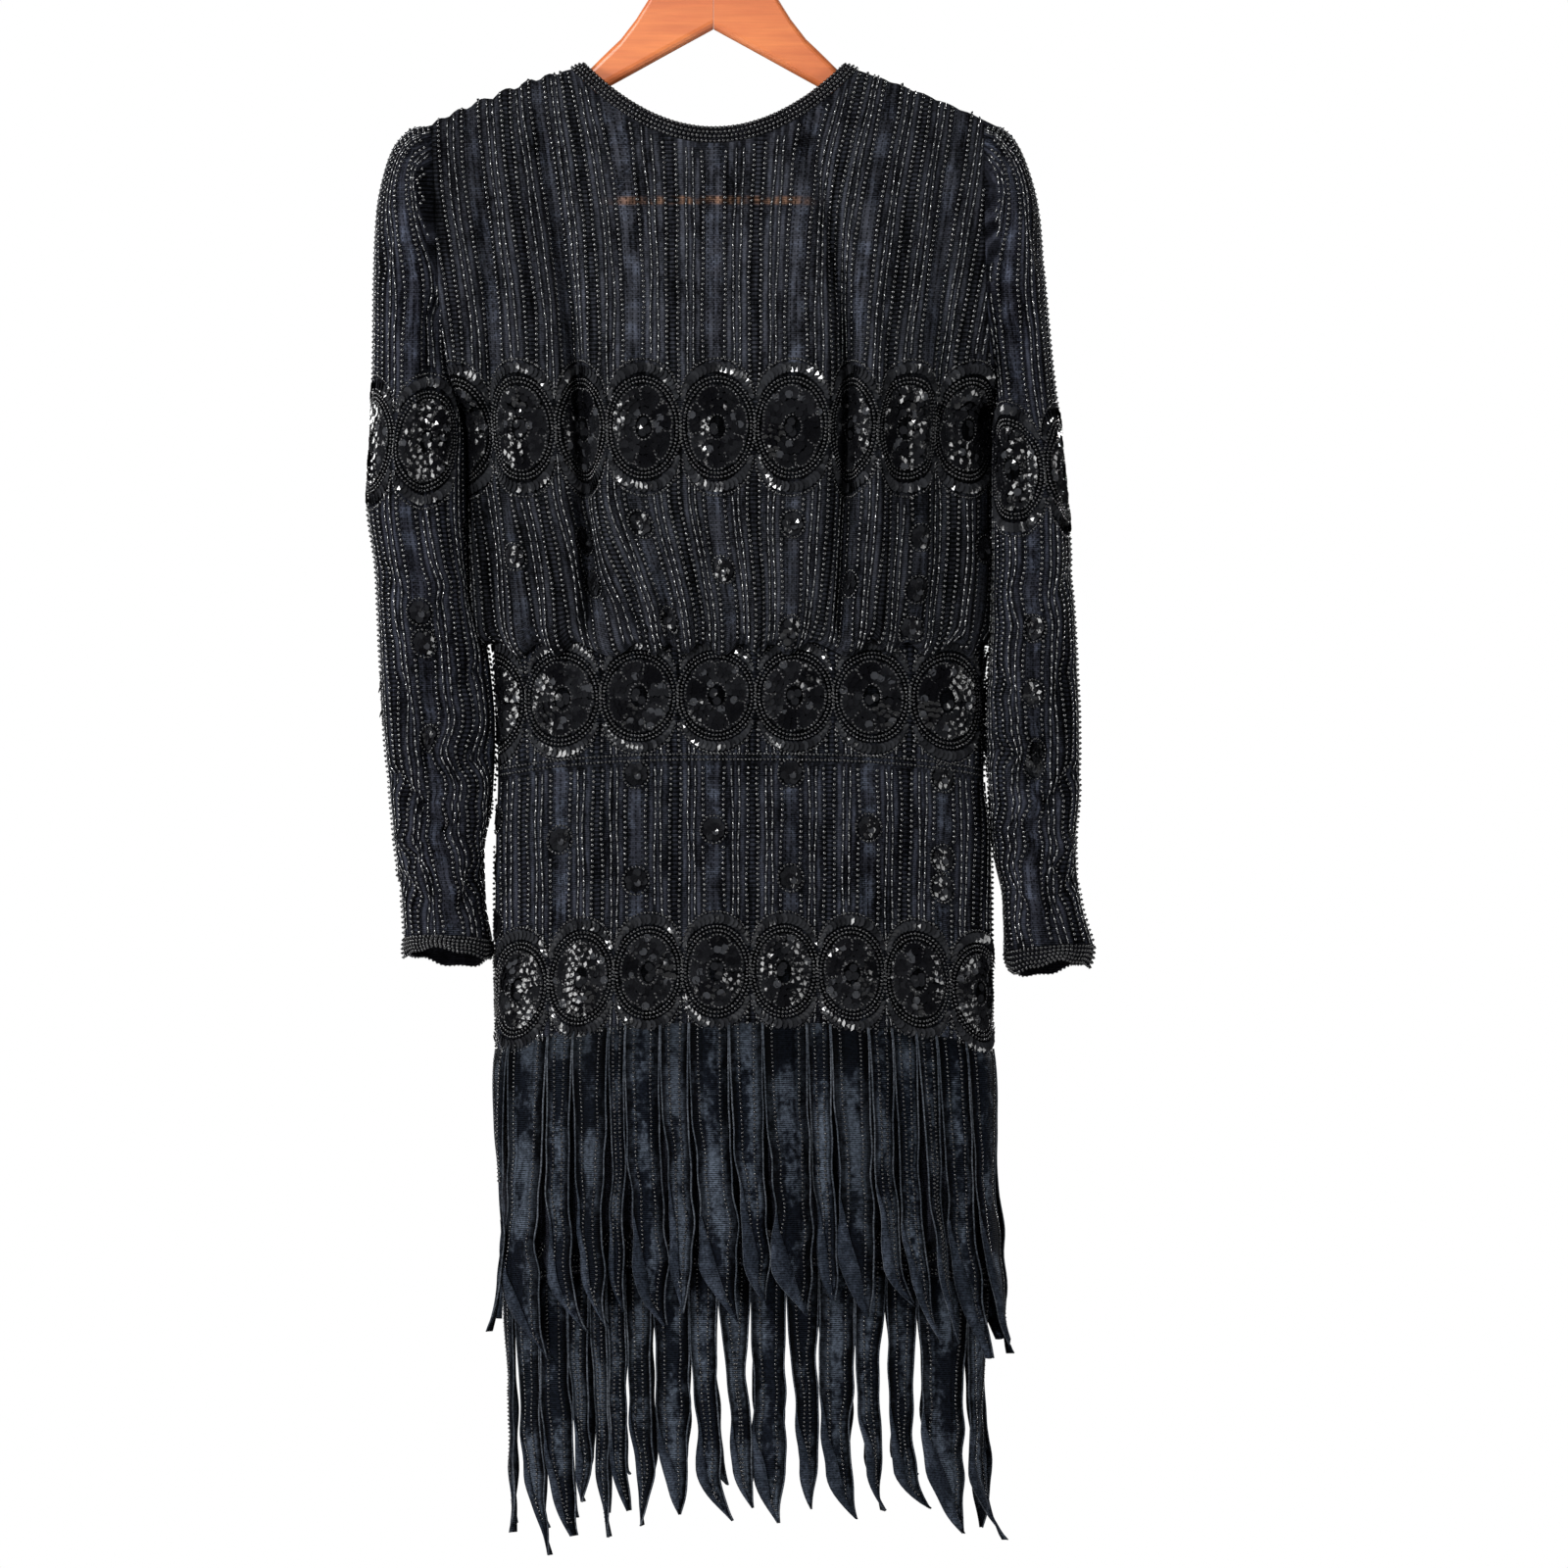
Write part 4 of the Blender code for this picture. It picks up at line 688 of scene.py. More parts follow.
def cloth_piece(name, grid, facing, look, beads, uv=None, ovals=(), period=1.0, closed=False,
                flat_seams=True):
    """A fine cloth shell from a grid of points; its back is all in shade."""
    normals = grid_normals(grid, facing, closed)
    if flat_seams:
        normals[np.abs(grid[..., 1]) < SEAM_GAP, 1] = 0
        normals = unit(normals)
    if uv is None:
        uv = np.zeros(grid.shape[:2] + (2,))
    shade = shade_of(ovals, uv[..., 0] * period, uv[..., 1] / MM).ravel()
    cloth = add_mesh(f"{name}_cloth", *shell(grid, normals, facing, CLOTH, closed), [LOOKS[look]],
                     uv=np.vstack([uv.reshape(-1, 2)] * 2),
                     values=[("shade", np.concatenate([shade, np.full(len(shade), BACK_SHADE)]))])
    finish_cloth(name, cloth, beads)


# ---------------------------------------------------------------- beads, bugles and sequins

# painted shade on the inner face of every cloth shell
BACK_SHADE = 0.6
SEED_SIDES, SEQUIN_SIDES, BUGLE_SIDES = 5, 7, 4


def ring_of(count, radius, height):
    turns = around(count)
    return np.stack([radius * np.cos(turns), radius * np.sin(turns), np.full(count, height)], -1)


def double_cone(count, top, bottom):
    """A ring with a point above and below, radius 1."""
    vertices = np.vstack([ring_of(count, 1.0, 0.0), [[0, 0, top]], [[0, 0, bottom]]])
    faces = [(k, (k + 1) % count, count) for k in range(count)]
    faces += [((k + 1) % count, k, count + 1) for k in range(count)]
    return vertices, np.array(faces)


def rod(count):
    """A closed rod from -0.5 to 0.5 along x, radius 1."""
    ends = [np.roll(ring_of(count, 1.0, x), 1, axis=1) for x in (-0.5, 0.5)]
    faces = []
    for k in range(count):
        n = (k + 1) % count
        faces += [(k, k + count, n + count), (k, n + count, n)]
    for k in range(1, count - 1):
        faces += [(0, k, k + 1), (count, count + k + 1, count + k)]
    return np.vstack(ends), np.array(faces)


# each kind's shape, normals and look; seeds are shaded as round as a ball, and sequins flat
SEED = double_cone(SEED_SIDES, 0.95, -0.8)
BALL_NORMALS = np.vstack([ring_of(SEED_SIDES, 0.87, 0.5), [[0, 0, 1.0]], [[0, 0, -1.0]]])
TRIM_KINDS = {
    "seed_beads": (SEED, BALL_NORMALS, "seed"),
    "small_beads": (SEED, BALL_NORMALS, "small_seed"),
    "bugles": (rod(BUGLE_SIDES), None, "bugle"),
    "sequins": (double_cone(SEQUIN_SIDES, -0.1, -0.2), None, "sequin"),
}


class Trims:
    """The seed beads, bugles and sequins sewn to one cloth, each kind gathered in one joined mesh."""

    def __init__(self, name):
        self.name, self.random = name, np.random.default_rng(SEEDS[name])
        self.rows = {kind: [] for kind in TRIM_KINDS}

    def add(self, kind, places, outs, alongs, sizes, pale=0.0):
        if len(places):
            self.rows[kind].append((places, outs, alongs, np.broadcast_to(sizes, places.shape),
                                    np.broadcast_to(pale, len(places))))

    def string(self, points, normals, keep=slice(None), radius=RING_SEED_RADIUS):
        """A line of seed beads along evenly spaced points."""
        along = np.gradient(points, axis=0)[keep]
        points, normals = points[keep], normals[keep]
        size = radius * self.random.uniform(0.93, 1.06, (len(points), 1))
        kind = "seed_beads" if radius == SEED_RADIUS else "small_beads"
        self.add(kind, points + normals * 0.72 * radius, normals, along, size)

    def rods(self, points, normals, keep):
        """A line of bugles along points a bugle apart, none quite straight."""
        along = np.gradient(points, axis=0)
        along = along + np.cross(normals, along) * self.random.normal(0, 0.035, (len(points), 1))
        self.add("bugles", (points + normals * 0.95 * BUGLE_RADIUS)[keep], normals[keep], along[keep],
                 np.array([BUGLE_LENGTH, BUGLE_RADIUS, BUGLE_RADIUS]))

    def build(self):
        return [self.join(kind) for kind in TRIM_KINDS if self.rows[kind]]

    def join(self, kind):
        (shape, faces), normals, look = TRIM_KINDS[kind]
        places, outs, alongs, sizes, pale = (np.concatenate(part) for part in zip(*self.rows[kind]))
        outs = unit(outs)
        sideways = unit(np.cross(outs, alongs))
        axes = np.stack([np.cross(sideways, outs), sideways, outs], 1)
        vertices = places[:, None] + np.einsum("nvk,nkd->nvd", shape[None] * sizes[:, None], axes)
        faces = faces[None] + len(shape) * np.arange(len(places))[:, None, None]
        if normals is not None:
            normals = np.einsum("vk,nkd->nvd", normals, axes).reshape(-1, 3)
        made = add_mesh(f"{self.name}_{kind}", vertices.reshape(-1, 3), faces.reshape(-1, 3), [LOOKS[look]],
                        kind != "sequins", values=[("pale", np.repeat(pale, len(shape)))], normals=normals)
        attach(made, "root")
        return made


def evenly(line, pitch, *others):
    """A polyline resampled at even distances, with other arrays read at the same places."""
    run = np.concatenate([[0], np.cumsum(np.linalg.norm(np.diff(line, axis=0), axis=1))])
    if run[-1] < pitch:
        return [values[:0] for values in (line, *others)]
    at = np.arange(pitch / 2, run[-1], pitch)
    found = []
    for values in (line, *others):
        flat = np.asarray(values, float).reshape(len(line), -1)
        read_at = np.stack([np.interp(at, run, column) for column in flat.T], -1)
        found.append(read_at.reshape((len(at),) + np.shape(values)[1:]))
    return found


# an oval that stripes keep clear of, and inside it the one where the net gets painted shade, under the
# sequins
OVAL_NAMES = "u z clear_width clear_height dark_width dark_height"


def far_from(oval, u, z, kind):
    """The distance from an oval's middle, as a share of its reach in that direction."""
    return np.hypot((u - oval["u"]) / oval[kind + "_width"], (z - oval["z"]) / oval[kind + "_height"])


def stripes(chart, trims, top, bottom, ovals):
    """Seed and bugle lines down a face. top gives the height that a line at some u starts at."""
    reach = int(chart.u.max() / chart.period) + 2
    lines = [(share, False) for share in SEED_LINES] + [(share, True) for share in BUGLE_LINES]
    for k in range(-reach, reach):
        for share, is_bugle in lines:
            middle = (k + share) * chart.period
            start = top(middle)
            z = np.concatenate([start - np.array(NEAR_TOP),
                                np.arange(start - NEAR_TOP[-1] - LINE_STEP, bottom, -LINE_STEP), [bottom]])
            phase = trims.random.uniform(0, 6.28, 2)
            u = middle + WANDER * (np.sin(z / 23.0 + phase[0]) + 0.6 * np.sin(z / 9.1 + phase[1]))
            points, normals, ok = chart.at(u, z)
            if ok.sum() < 4:
                continue
            pitch = BUGLE_PITCH if is_bugle else SEED_PITCH
            points, normals, u, z, ok = evenly(points, pitch, normals, u, z, ok)
            keep = ok > 0.999
            for oval in ovals:
                keep &= far_from(oval, u, z, "clear") >= 1
            if is_bugle:
                trims.rods(points, normals, keep)
            else:
                trims.string(points, normals, keep, SEED_RADIUS)


def shade_of(ovals, u, z):
    """How much painted shade lies on the net: 1 under a medallion or flower, where its sequins cover it, 0
    away from them.
    """
    dark = np.zeros(np.shape(u))
    for oval in ovals:
        dark = np.maximum(dark, 1 - step_between(far_from(oval, u, z, "dark"), 0.9, 1.08))
    return dark


def oval_points(half_width, half_height, turn):
    return np.stack([half_width * np.cos(turn), half_height * np.sin(turn)], -1)


def oval_line(half_width, half_height, pitch=RING_PITCH, start=0.0, end=360.0):
    """Even points (across, up) on part of an oval; degrees from its right end."""
    turn = np.radians(np.linspace(start, end, 200))
    return evenly(oval_points(half_width, half_height, turn), pitch)[0]


SEQUIN_NAMES = "across up lean_to lean long lift pale"


class Medallion:
    """The plan of one medallion: bead lines and sequins in millimetres from its middle."""

    def __init__(self, half_width, half_height, crescent, random):
        self.lines, self.sequins, self.random = [], [], random
        for inset in (0.0, DOUBLE_RING):
            self.lines.append(oval_line(half_width - inset, half_height - inset))
        self.lines.append(oval_line(*HEART_RING))
        first = random.uniform(0, 2 * np.pi)
        self.petals(half_width - PETAL_INSET, half_height - PETAL_INSET, first)
        self.fans(half_width - PETAL_INSET, half_height - PETAL_INSET, first)
        for turn in random.uniform(0, 2 * np.pi, 4):
            lean = random.uniform(0.0, 0.3)
            self.sequins.append((*oval_points(2.7, 4.0, turn), turn, lean, 1.0, 0.9, 0.25))
        for sign in (1, -1):
            self.crescent(half_width, half_height, crescent, sign)

    def petals(self, half_width, half_height, first):
        """A scalloped line of beads, and short lines inwards from where two petals meet."""
        turn = np.linspace(0, 2 * np.pi, 300)
        cusp = (1 - np.abs(np.sin(PETALS * (turn - first) / 2))) ** 2
        line = oval_points(half_width, half_height, turn) * (1 - 0.1 * cusp)[:, None]
        self.lines.append(evenly(line, RING_PITCH)[0])
        for k in range(PETALS):
            way = oval_points(half_width, half_height, first + 2 * np.pi * k / PETALS)
            inner = PETAL_LINE - 2 * RING_PITCH / np.linalg.norm(way)
            self.lines.append(way * np.linspace(PETAL_LINE, inner, 3)[:, None])

    def fans(self, half_width, half_height, first):
        """Rows of overlapping sequins in each petal; those of one petal lean alike."""
        random = self.random
        lean_to = random.normal(0, 0.7, PETALS)
        lean = random.uniform(0.0, 0.14, PETALS)
        lean[random.integers(PETALS)] = random.uniform(0.24, 0.4)
        tone = random.permutation(np.linspace(0.0, 0.3, PETALS))
        for share in FAN_ROWS:
            places = oval_line(half_width * share, half_height * share, SEQUIN_PITCH)
            for x, z in places + random.normal(0, 0.35, places.shape):
                turn = math.atan2(z / half_height, x / half_width)
                petal = int((turn - first) / (2 * np.pi) * PETALS) % PETALS
                toward = math.atan2(z, x) + lean_to[petal] + random.normal(0, 0.35)
                amount = lean[petal] + random.normal(0, 0.045)
                # a few sequins are fully pale: painted glints
                pale = tone[petal] * random.uniform(0.2, 1.0) if random.random() < 0.93 else 1.0
                self.sequins.append((x, z, toward, amount, 1.0, 0.9, pale))

    def crescent(self, half_width, half_height, thickness, sign):
        """Sequins laid like tiles above or below the rings, with a line of beads outside them."""
        turn = np.radians(np.linspace(34.0, 146.0, 120))
        swell = np.sin(np.pi * (turn - turn[0]) / (turn[-1] - turn[0])) ** 0.7
        ring = oval_points(half_width, half_height, turn)
        away = unit(oval_points(1 / half_width, 1 / half_height, turn))
        thick = 2.6 + (thickness - 1.4) * swell
        self.lines.append(evenly(ring + away * thick[:, None], RING_PITCH)[0] * [1, sign])
        middle = ring + away * (thick / 2 + 0.4)[:, None]
        for (x, z), out, size in zip(*evenly(middle, TILE_PITCH, away, thick)):
            leftward = math.atan2(sign * out[0], -out[1])
            long = min(max(size - 2.6, 3.4) / (2 * SEQUIN_RADIUS), 1.25)
            lean, pale = self.random.uniform(0.18, 0.40), self.random.uniform(0.15, 0.7)
            self.sequins.append((x, z * sign, leftward, lean, long, 1.3, pale))


def sew_on(chart, trims, middle_u, middle_z, lines, sequins):
    """Puts a plan's bead lines and sequins on a chart, around one place."""
    for line in lines:
        if len(line) > 1:
            trims.string(*chart.at(middle_u + line[:, 0], middle_z + line[:, 1]))
    plan = columns(SEQUIN_NAMES, sequins)
    u, z = middle_u + plan["across"], middle_z + plan["up"]
    points, normals, ok = chart.at(u, z)
    right = unit(chart.at(u + 0.5, z)[0] - points)
    up = np.cross(normals, right)
    up *= np.sign(up[:, 2:3])
    lean_to, lean, long, lift = (plan[name][:, None] for name in ("lean_to", "lean", "long", "lift"))
    lean_way = right * np.cos(lean_to) + up * np.sin(lean_to)
    sizes = np.hstack([np.ones_like(long), long, np.ones_like(long)]) * SEQUIN_RADIUS
    lift = lift + trims.random.uniform(0, 0.5, lift.shape)
    trims.add("sequins", (points + normals * lift)[ok], (normals + lean_way * lean)[ok], lean_way[ok],
              sizes[ok], plan["pale"][ok])


def band(chart, trims, name, low_u, high_u):
    """A row of medallions across a face; returns their ovals."""
    row = BANDS[name]
    half_width, half_height, crescent = row["half_width"], row["half_height"], row["crescent"]
    first = math.ceil((low_u - half_width - row["first"]) / row["pitch"])
    last = math.floor((high_u + half_width - row["first"]) / row["pitch"])
    middles = [row["first"] + k * row["pitch"] for k in range(first, last + 1)]
    for middle in middles:
        plan = Medallion(half_width, half_height, crescent, trims.random)
        sew_on(chart, trims, middle, row["z"], plan.lines, plan.sequins)
    return records(OVAL_NAMES, [(middle, row["z"], half_width + 1.5, half_height + crescent + 3.0,
                                 half_width, half_height + 0.5 * crescent) for middle in middles])


def flower(chart, trims, middle_u, middle_z):
    """A ring of beads around a fan of sequins; returns its oval."""
    random = trims.random
    sequins = []
    first = random.uniform(0, 6.28)
    for n in range(8):
        turn = first + n * 2 * np.pi / 8
        lean, pale = random.uniform(0.0, 0.12), random.uniform(0, 0.4)
        sequins.append((*oval_points(5.4, 5.6, turn), turn + 0.8, lean, 1.0, 0.7, pale))
    for n in range(3):
        turn = first + n * 2.1
        sequins.append((*oval_points(2.2, 2.2, turn), turn + 0.8, random.uniform(0.0, 0.16), 1.0, 1.1, 0.1))
    # the middle sequin is pale: a painted glint
    sequins.append((1.0, -1.6, 2.1, 0.34, 0.8, 1.7, 0.8))
    sew_on(chart, trims, middle_u, middle_z, [oval_line(FLOWER_RADIUS - 1.4, FLOWER_RADIUS - 1.0)], sequins)
    return (middle_u, middle_z, *(FLOWER_RADIUS + more for more in (1.0, 1.6, -2.0, -2.0)))


def flowers(chart, trims, places):
    """Flowers at (place, z), each moved to the middle of its nearest panel; returns their ovals."""
    ovals = []
    for place, z in places:
        u = float(chart.across(np.array([place]), np.array([float(z)]))[0])
        ovals.append(flower(chart, trims, round(u / chart.period) * chart.period, float(z)))
    return records(OVAL_NAMES, ovals)


def panel_flowers(chart, trims, table, face, seen, back_shift):
    """A panel's flowers; the back has the front's the other way round."""
    seen = [(x if face == FRONT else back_shift - x, z) for x, z in seen]
    left, right = (read(table, side, np.array([z for _, z in seen], float)) for side in SIDES)
    return flowers(chart, trims, [((x - a) / (b - a), z) for (x, z), a, b in zip(seen, left, right)])


# ---------------------------------------------------------------- materials

LOOKS = {}
BLOTCH = 0.45                   # how uneven the net's light is
RIB_PITCH, STITCH_PITCH, STITCH_COLUMNS = 0.00135, 0.0033, 4.2       # metres, metres and millimetres
STITCH_HALF, STITCH_SHARE, RUNG_SHARE = 0.13, 0.6, 0.5       # shares of those two distances
# the darker furrow beside the bead lines, a painted shadow of the beads and a groove in the bump: the lines,
# its half-width in millimetres, the light it keeps
FURROWS_AND_BEAD_SHADOWS = ((SEED_LINES[:2], 3.0, 0.30), (BUGLE_LINES[:2], 2.1, 0.35))
SIDE_SHADE_X, LOW_SHADE_Z = (0.06, 0.165), (0.33, 0.45)       # metres: where painted shade darkens the bodice towards its sides and its lower part
HEADER_Z = (-0.892, -0.862)     # where the hip strips come out from under the band
BAR_Z, BAR_SOFT, BAR_X, BAR_TINT = -0.2485, (0.0016, 0.0042), (0.055, 0.085), (0.130, 0.070, 0.042)
STRIP_LINE, STRIP_STEP = 0.84, 0.37     # the darker lines along a strip, and the step in tone to the next
SEED_IOR, BUGLE_IOR, SMALL_SEED_IOR = 1.78, 1.95, 1.52     # dense glass reflects more than plain glass


def operator(operation, swapped=False):
    """A method of Value that makes a Math node."""
    def method(self, other=0.0):
        return self.nodes.math(operation, *((other, self) if swapped else (self, other)))
    return method


class Value:
    """An output in a material's node tree. Arithmetic with it makes Math nodes."""

    __add__, __radd__ = operator("ADD"), operator("ADD", True)
    __sub__, __rsub__ = operator("SUBTRACT"), operator("SUBTRACT", True)
    __mul__, __rmul__ = operator("MULTIPLY"), operator("MULTIPLY", True)
    __abs__, __lt__ = operator("ABSOLUTE"), operator("LESS_THAN")
    fract, sine, at_least = operator("FRACT"), operator("SINE"), operator("MAXIMUM")

    def __init__(self, nodes, socket):
        self.nodes, self.socket = nodes, socket

    def ramp(self, low, high, to_low=0.0, to_high=1.0):
        """Softly from to_low where this is low to to_high where it is high."""
        return self.nodes.make("MapRange", dict(enumerate((self, low, high, to_low, to_high))),
                               interpolation_type="SMOOTHSTEP")


class Nodes:
    """A short way to write a material's node tree."""

    def __init__(self, name):
        self.made = bpy.data.materials.new(name)
        self.made.use_nodes = True
        self.shader = self.made.node_tree.nodes["Principled BSDF"]
        self.where = self.make("TexCoord", {}, "Object")

    def link(self, value, socket):
        if isinstance(value, Value):
            self.made.node_tree.links.new(value.socket, socket)
        elif isinstance(value, tuple) and socket.type == "RGBA":
            socket.default_value = (*value, 1.0)
        else:
            socket.default_value = value

    def make(self, kind, inputs, output=0, **settings):
        """A new node's output; inputs gives its sockets, by name or number, values or numbers."""
        node = self.made.node_tree.nodes.new("ShaderNode" + kind)
        for key, value in settings.items():
            setattr(node, key, value)
        for key, value in inputs.items():
            self.link(value, node.inputs[key])
        if output is None:
            return [Value(self, socket) for socket in node.outputs]
        return Value(self, node.outputs[output])

    def math(self, operation, a, b):
        return self.make("Math", {0: a, 1: b, 2: 0.0}, operation=operation)

    def mix(self, factor, a, b, blend="MIX"):
        return self.make("Mix", {0: factor, 6: a, 7: b}, 2, data_type="RGBA", blend_type=blend)

    def scaled(self, colour, factor):
        return self.mix(1.0, colour, factor, "MULTIPLY")

    def noise(self, where, scale, detail=2.0, roughness=0.5):
        return self.make("TexNoise", {"Vector": where, "Scale": scale, "Detail": detail,
                                      "Roughness": roughness}, "Fac")

    def fine(self):
        return self.noise(self.where, 520.0)

    def attribute(self, name):
        return self.make("Attribute", {}, "Fac", attribute_name=name)

    def separate(self, vector):
        return self.make("SeparateXYZ", {0: vector}, None)

    def set(self, **sockets):
        for name, value in sockets.items():
            self.link(value, self.shader.inputs[name.replace("_", " ")])

    def bump(self, height, distance):
        self.set(Normal=self.make("Bump", {"Strength": 1.0, "Distance": distance, "Height": height}))


def cloth_look(name, base, panel, period, sides=1.0, low=1.0, bar=0.0):
    """Ribbed net. Its UV map holds the stripe distance in periods and the height in metres.

    sides and low are how much light the cloth keeps at its sides and low down, where shade is painted; bar is
    how far the hanger's bar, which lies behind the front, shows through."""
    n = Nodes(name)
    across, down, _ = n.separate(n.make("UVMap", {}, uv_map="UVMap"))
    from_panel = (across + 0.5).fract() - 0.5
    share = abs(from_panel)
    in_panel, in_bricks = share.ramp(0.130, 0.115), share.ramp(0.425, 0.438)
    rib = (down * (2 * math.pi / RIB_PITCH)).sine()
    # darker beside the bead lines: a painted shadow of the beads, and a groove in the bump
    furrow_and_bead_shadow = 1.0
    for lines, half, depth in FURROWS_AND_BEAD_SHADOWS:
        for line in lines:
            furrow_and_bead_shadow = furrow_and_bead_shadow * abs(share - line).ramp(0.5 * half / period, half / period, depth, 1.0)
    # small dark stitches: three columns on a panel, and rungs between the two close lines of beads
    column = abs((from_panel * (period / STITCH_COLUMNS) + 0.5).fract() - 0.5)
    row = (down * (1 / STITCH_PITCH)).fract()
    stitch = (column < STITCH_HALF) * (row < STITCH_SHARE) * in_panel
    stitches = stitch.at_least(in_bricks * (row < RUNG_SHARE))
    streaks = n.make("CombineXYZ", {0: across * (period * MM), 1: down * 0.12})
    patches, spots, fine = n.noise(n.where, 30.0, 5.0, 0.65), n.noise(n.where, 70.0, 4.0, 0.6), n.fine()
    light = patches.ramp(0.3, 0.7, 1 - BLOTCH, 1 + BLOTCH) + rib * 0.38
    light = light + n.noise(streaks, 260.0, 3.0, 0.6).ramp(0.32, 0.68, -0.55, 0.55)
    light = light + n.noise(streaks, 60.0).ramp(0.32, 0.68, -0.3, 0.3) + fine.ramp(0.3, 0.7, -0.4, 0.4)
    light = light.at_least(0.12) * furrow_and_bead_shadow
    # the shade attribute is painted shade: under the medallions and flowers, and on the shells' inner faces
    for dark, keeps in ((stitches, 0.25), (n.attribute("shade"), 0.1), (in_bricks, 0.75)):
        light = light * dark.ramp(0.0, 1.0, 1.0, keeps)
    x, y, _ = n.separate(n.where)
    # painted shade: the bodice darker towards its sides and its lower part
    light = light * abs(x).ramp(*SIDE_SHADE_X, 1.0, sides) * (down * -1.0).ramp(*LOW_SHADE_Z, 1.0, low)
    on_bar = abs(down - BAR_Z).ramp(*BAR_SOFT, bar, 0.0) * abs(x).ramp(*BAR_X, 1.0, 0.0)
    on_bar = on_bar * spots.ramp(0.38, 0.58) * (y < 0.0)
    bluish = in_panel.ramp(0.0, 1.0, 0.25, 1.0) * spots.ramp(0.45, 0.66)
    colour = n.mix(on_bar, n.mix(bluish, base, panel), BAR_TINT)
    n.set(Base_Color=n.scaled(colour, light), Roughness=patches.ramp(0.3, 0.7, 0.9, 0.75),
          Sheen_Weight=0.004, Sheen_Roughness=0.4, Specular_IOR_Level=0.012)
    n.bump(rib * 0.5 + fine * 0.8 + furrow_and_bead_shadow * 1.5, 0.00035)
    return n.made


def satin_look(name, base, light_colour, ribs=0.00144, margin=1.0):
    """Ribbed satin with blotchy painted highlights, standing in for its sheen, as on the strips, whose
    margins are darker.
    """
    n = Nodes(name)
    strip, middle, height = n.attribute("strip"), n.attribute("middle"), n.separate(n.where)[2]
    moved = n.make("CombineXYZ", {0: strip * STRIP_STEP})
    stretched = n.make("Mapping", {"Vector": n.where, "Location": moved, "Scale": (1.0, 1.0, 0.45)})
    blot = n.noise(stretched, 44.0, 4.0, 0.6) * 0.72 + n.noise(n.where, 230.0, 3.0, 0.6) * 0.28
    fine = n.fine()
    rib = (height * (2 * math.pi / ribs) + blot * 5.0).sine()
    light = (1.0 + rib * 0.6 + fine.ramp(0.3, 0.7, -0.45, 0.45)).at_least(0.15)
    light = light * middle.ramp(0.4, 0.8, margin, 1.0)
    # two darker lines along a strip, its top in the shade, and no two neighbours of one tone
    half = 0.5 * (1 + margin)
    light = light * abs(middle - STRIP_LINE).ramp(0.02, 0.06, half, 1.0) * height.ramp(*HEADER_Z, 1.0, half)
    light = light * (strip * STRIP_STEP).fract().ramp(0.0, 1.0, half, 1.0)
    # painted highlights: blotches of a lighter colour, standing in for the satin's sheen
    colour = n.mix(blot.ramp(0.465, 0.60), base, light_colour)
    n.set(Base_Color=n.scaled(colour, light), Roughness=blot.ramp(0.3, 0.7, 0.7, 0.52),
          Sheen_Weight=0.004, Sheen_Roughness=0.35, Specular_IOR_Level=0.015)
    n.bump(rib * 0.5 + fine * 0.8, 0.0003)
    return n.made


def sequin_look():
    """Dark film, from black to grey as the mesh's pale attribute says: the grey is partly each sequin's own
    tone and partly painted sheen, and the palest are painted glints.
    """
    n = Nodes("black_sequin_film")
    n.set(Base_Color=n.mix(n.attribute("pale"), (0.0018, 0.0018, 0.0023), (0.024, 0.025, 0.028)),
          Roughness=n.noise(n.where, 200.0, 1.0).ramp(0.3, 0.7, 0.13, 0.08), Specular_IOR_Level=0.17)
    return n.made


def glass_look(name, base, roughness, ior, coat=0.0):
    """Glossy black glass or plastic, a little uneven from bead to bead."""
    n = Nodes(name)
    each = n.noise(n.where, 180.0, 1.0)
    n.set(Base_Color=n.scaled(base, each.ramp(0.3, 0.7, 0.7, 1.3)), IOR=ior,
          Roughness=each.ramp(0.3, 0.7, roughness * 1.2, roughness * 0.85),
          Coat_Weight=coat, Coat_Roughness=0.1)
    return n.made


def wood_look():
    """Varnished beech, whose grain runs along the arms: a broad one and a fine one."""
    n = Nodes("varnished_beech")
    spaces = [n.make("Mapping", {"Vector": n.where, "Rotation": (0.0, 0.33, 0.0), "Scale": scale})
              for scale in ((0.35, 3.0, 3.0), (0.12, 4.0, 4.0))]
    broad, fine = n.noise(spaces[0], 22.0, 4.0, 0.55), n.noise(spaces[1], 190.0, 3.0, 0.6)
    colour = n.mix(broad.ramp(0.3, 0.7), (0.38, 0.095, 0.028), (0.49, 0.150, 0.048))
    n.set(Base_Color=n.scaled(colour, fine.ramp(0.3, 0.7, 0.93, 1.05)), Coat_Weight=0.12, Coat_Roughness=0.2,
          Roughness=broad.ramp(0.3, 0.7, 0.46, 0.38))
    n.bump(fine, 0.00008)
    return n.made


def steel_look():
    n = Nodes("polished_steel")
    smear = n.noise(n.where, 60.0, 3.0)
    n.set(Base_Color=n.mix(smear, (0.66, 0.66, 0.68), (0.80, 0.80, 0.81)), Metallic=1.0,
          Roughness=smear.ramp(0.3, 0.7, 0.12, 0.22))
    return n.made


def paper_look():
    n = Nodes("pale_paper")
    colour = n.scaled((0.93, 0.93, 0.93), n.noise(n.where, 1.2).ramp(0.3, 0.7, 0.99, 1.0))
    n.set(Base_Color=colour, Roughness=0.9, Specular_IOR_Level=0.1)
    return n.made


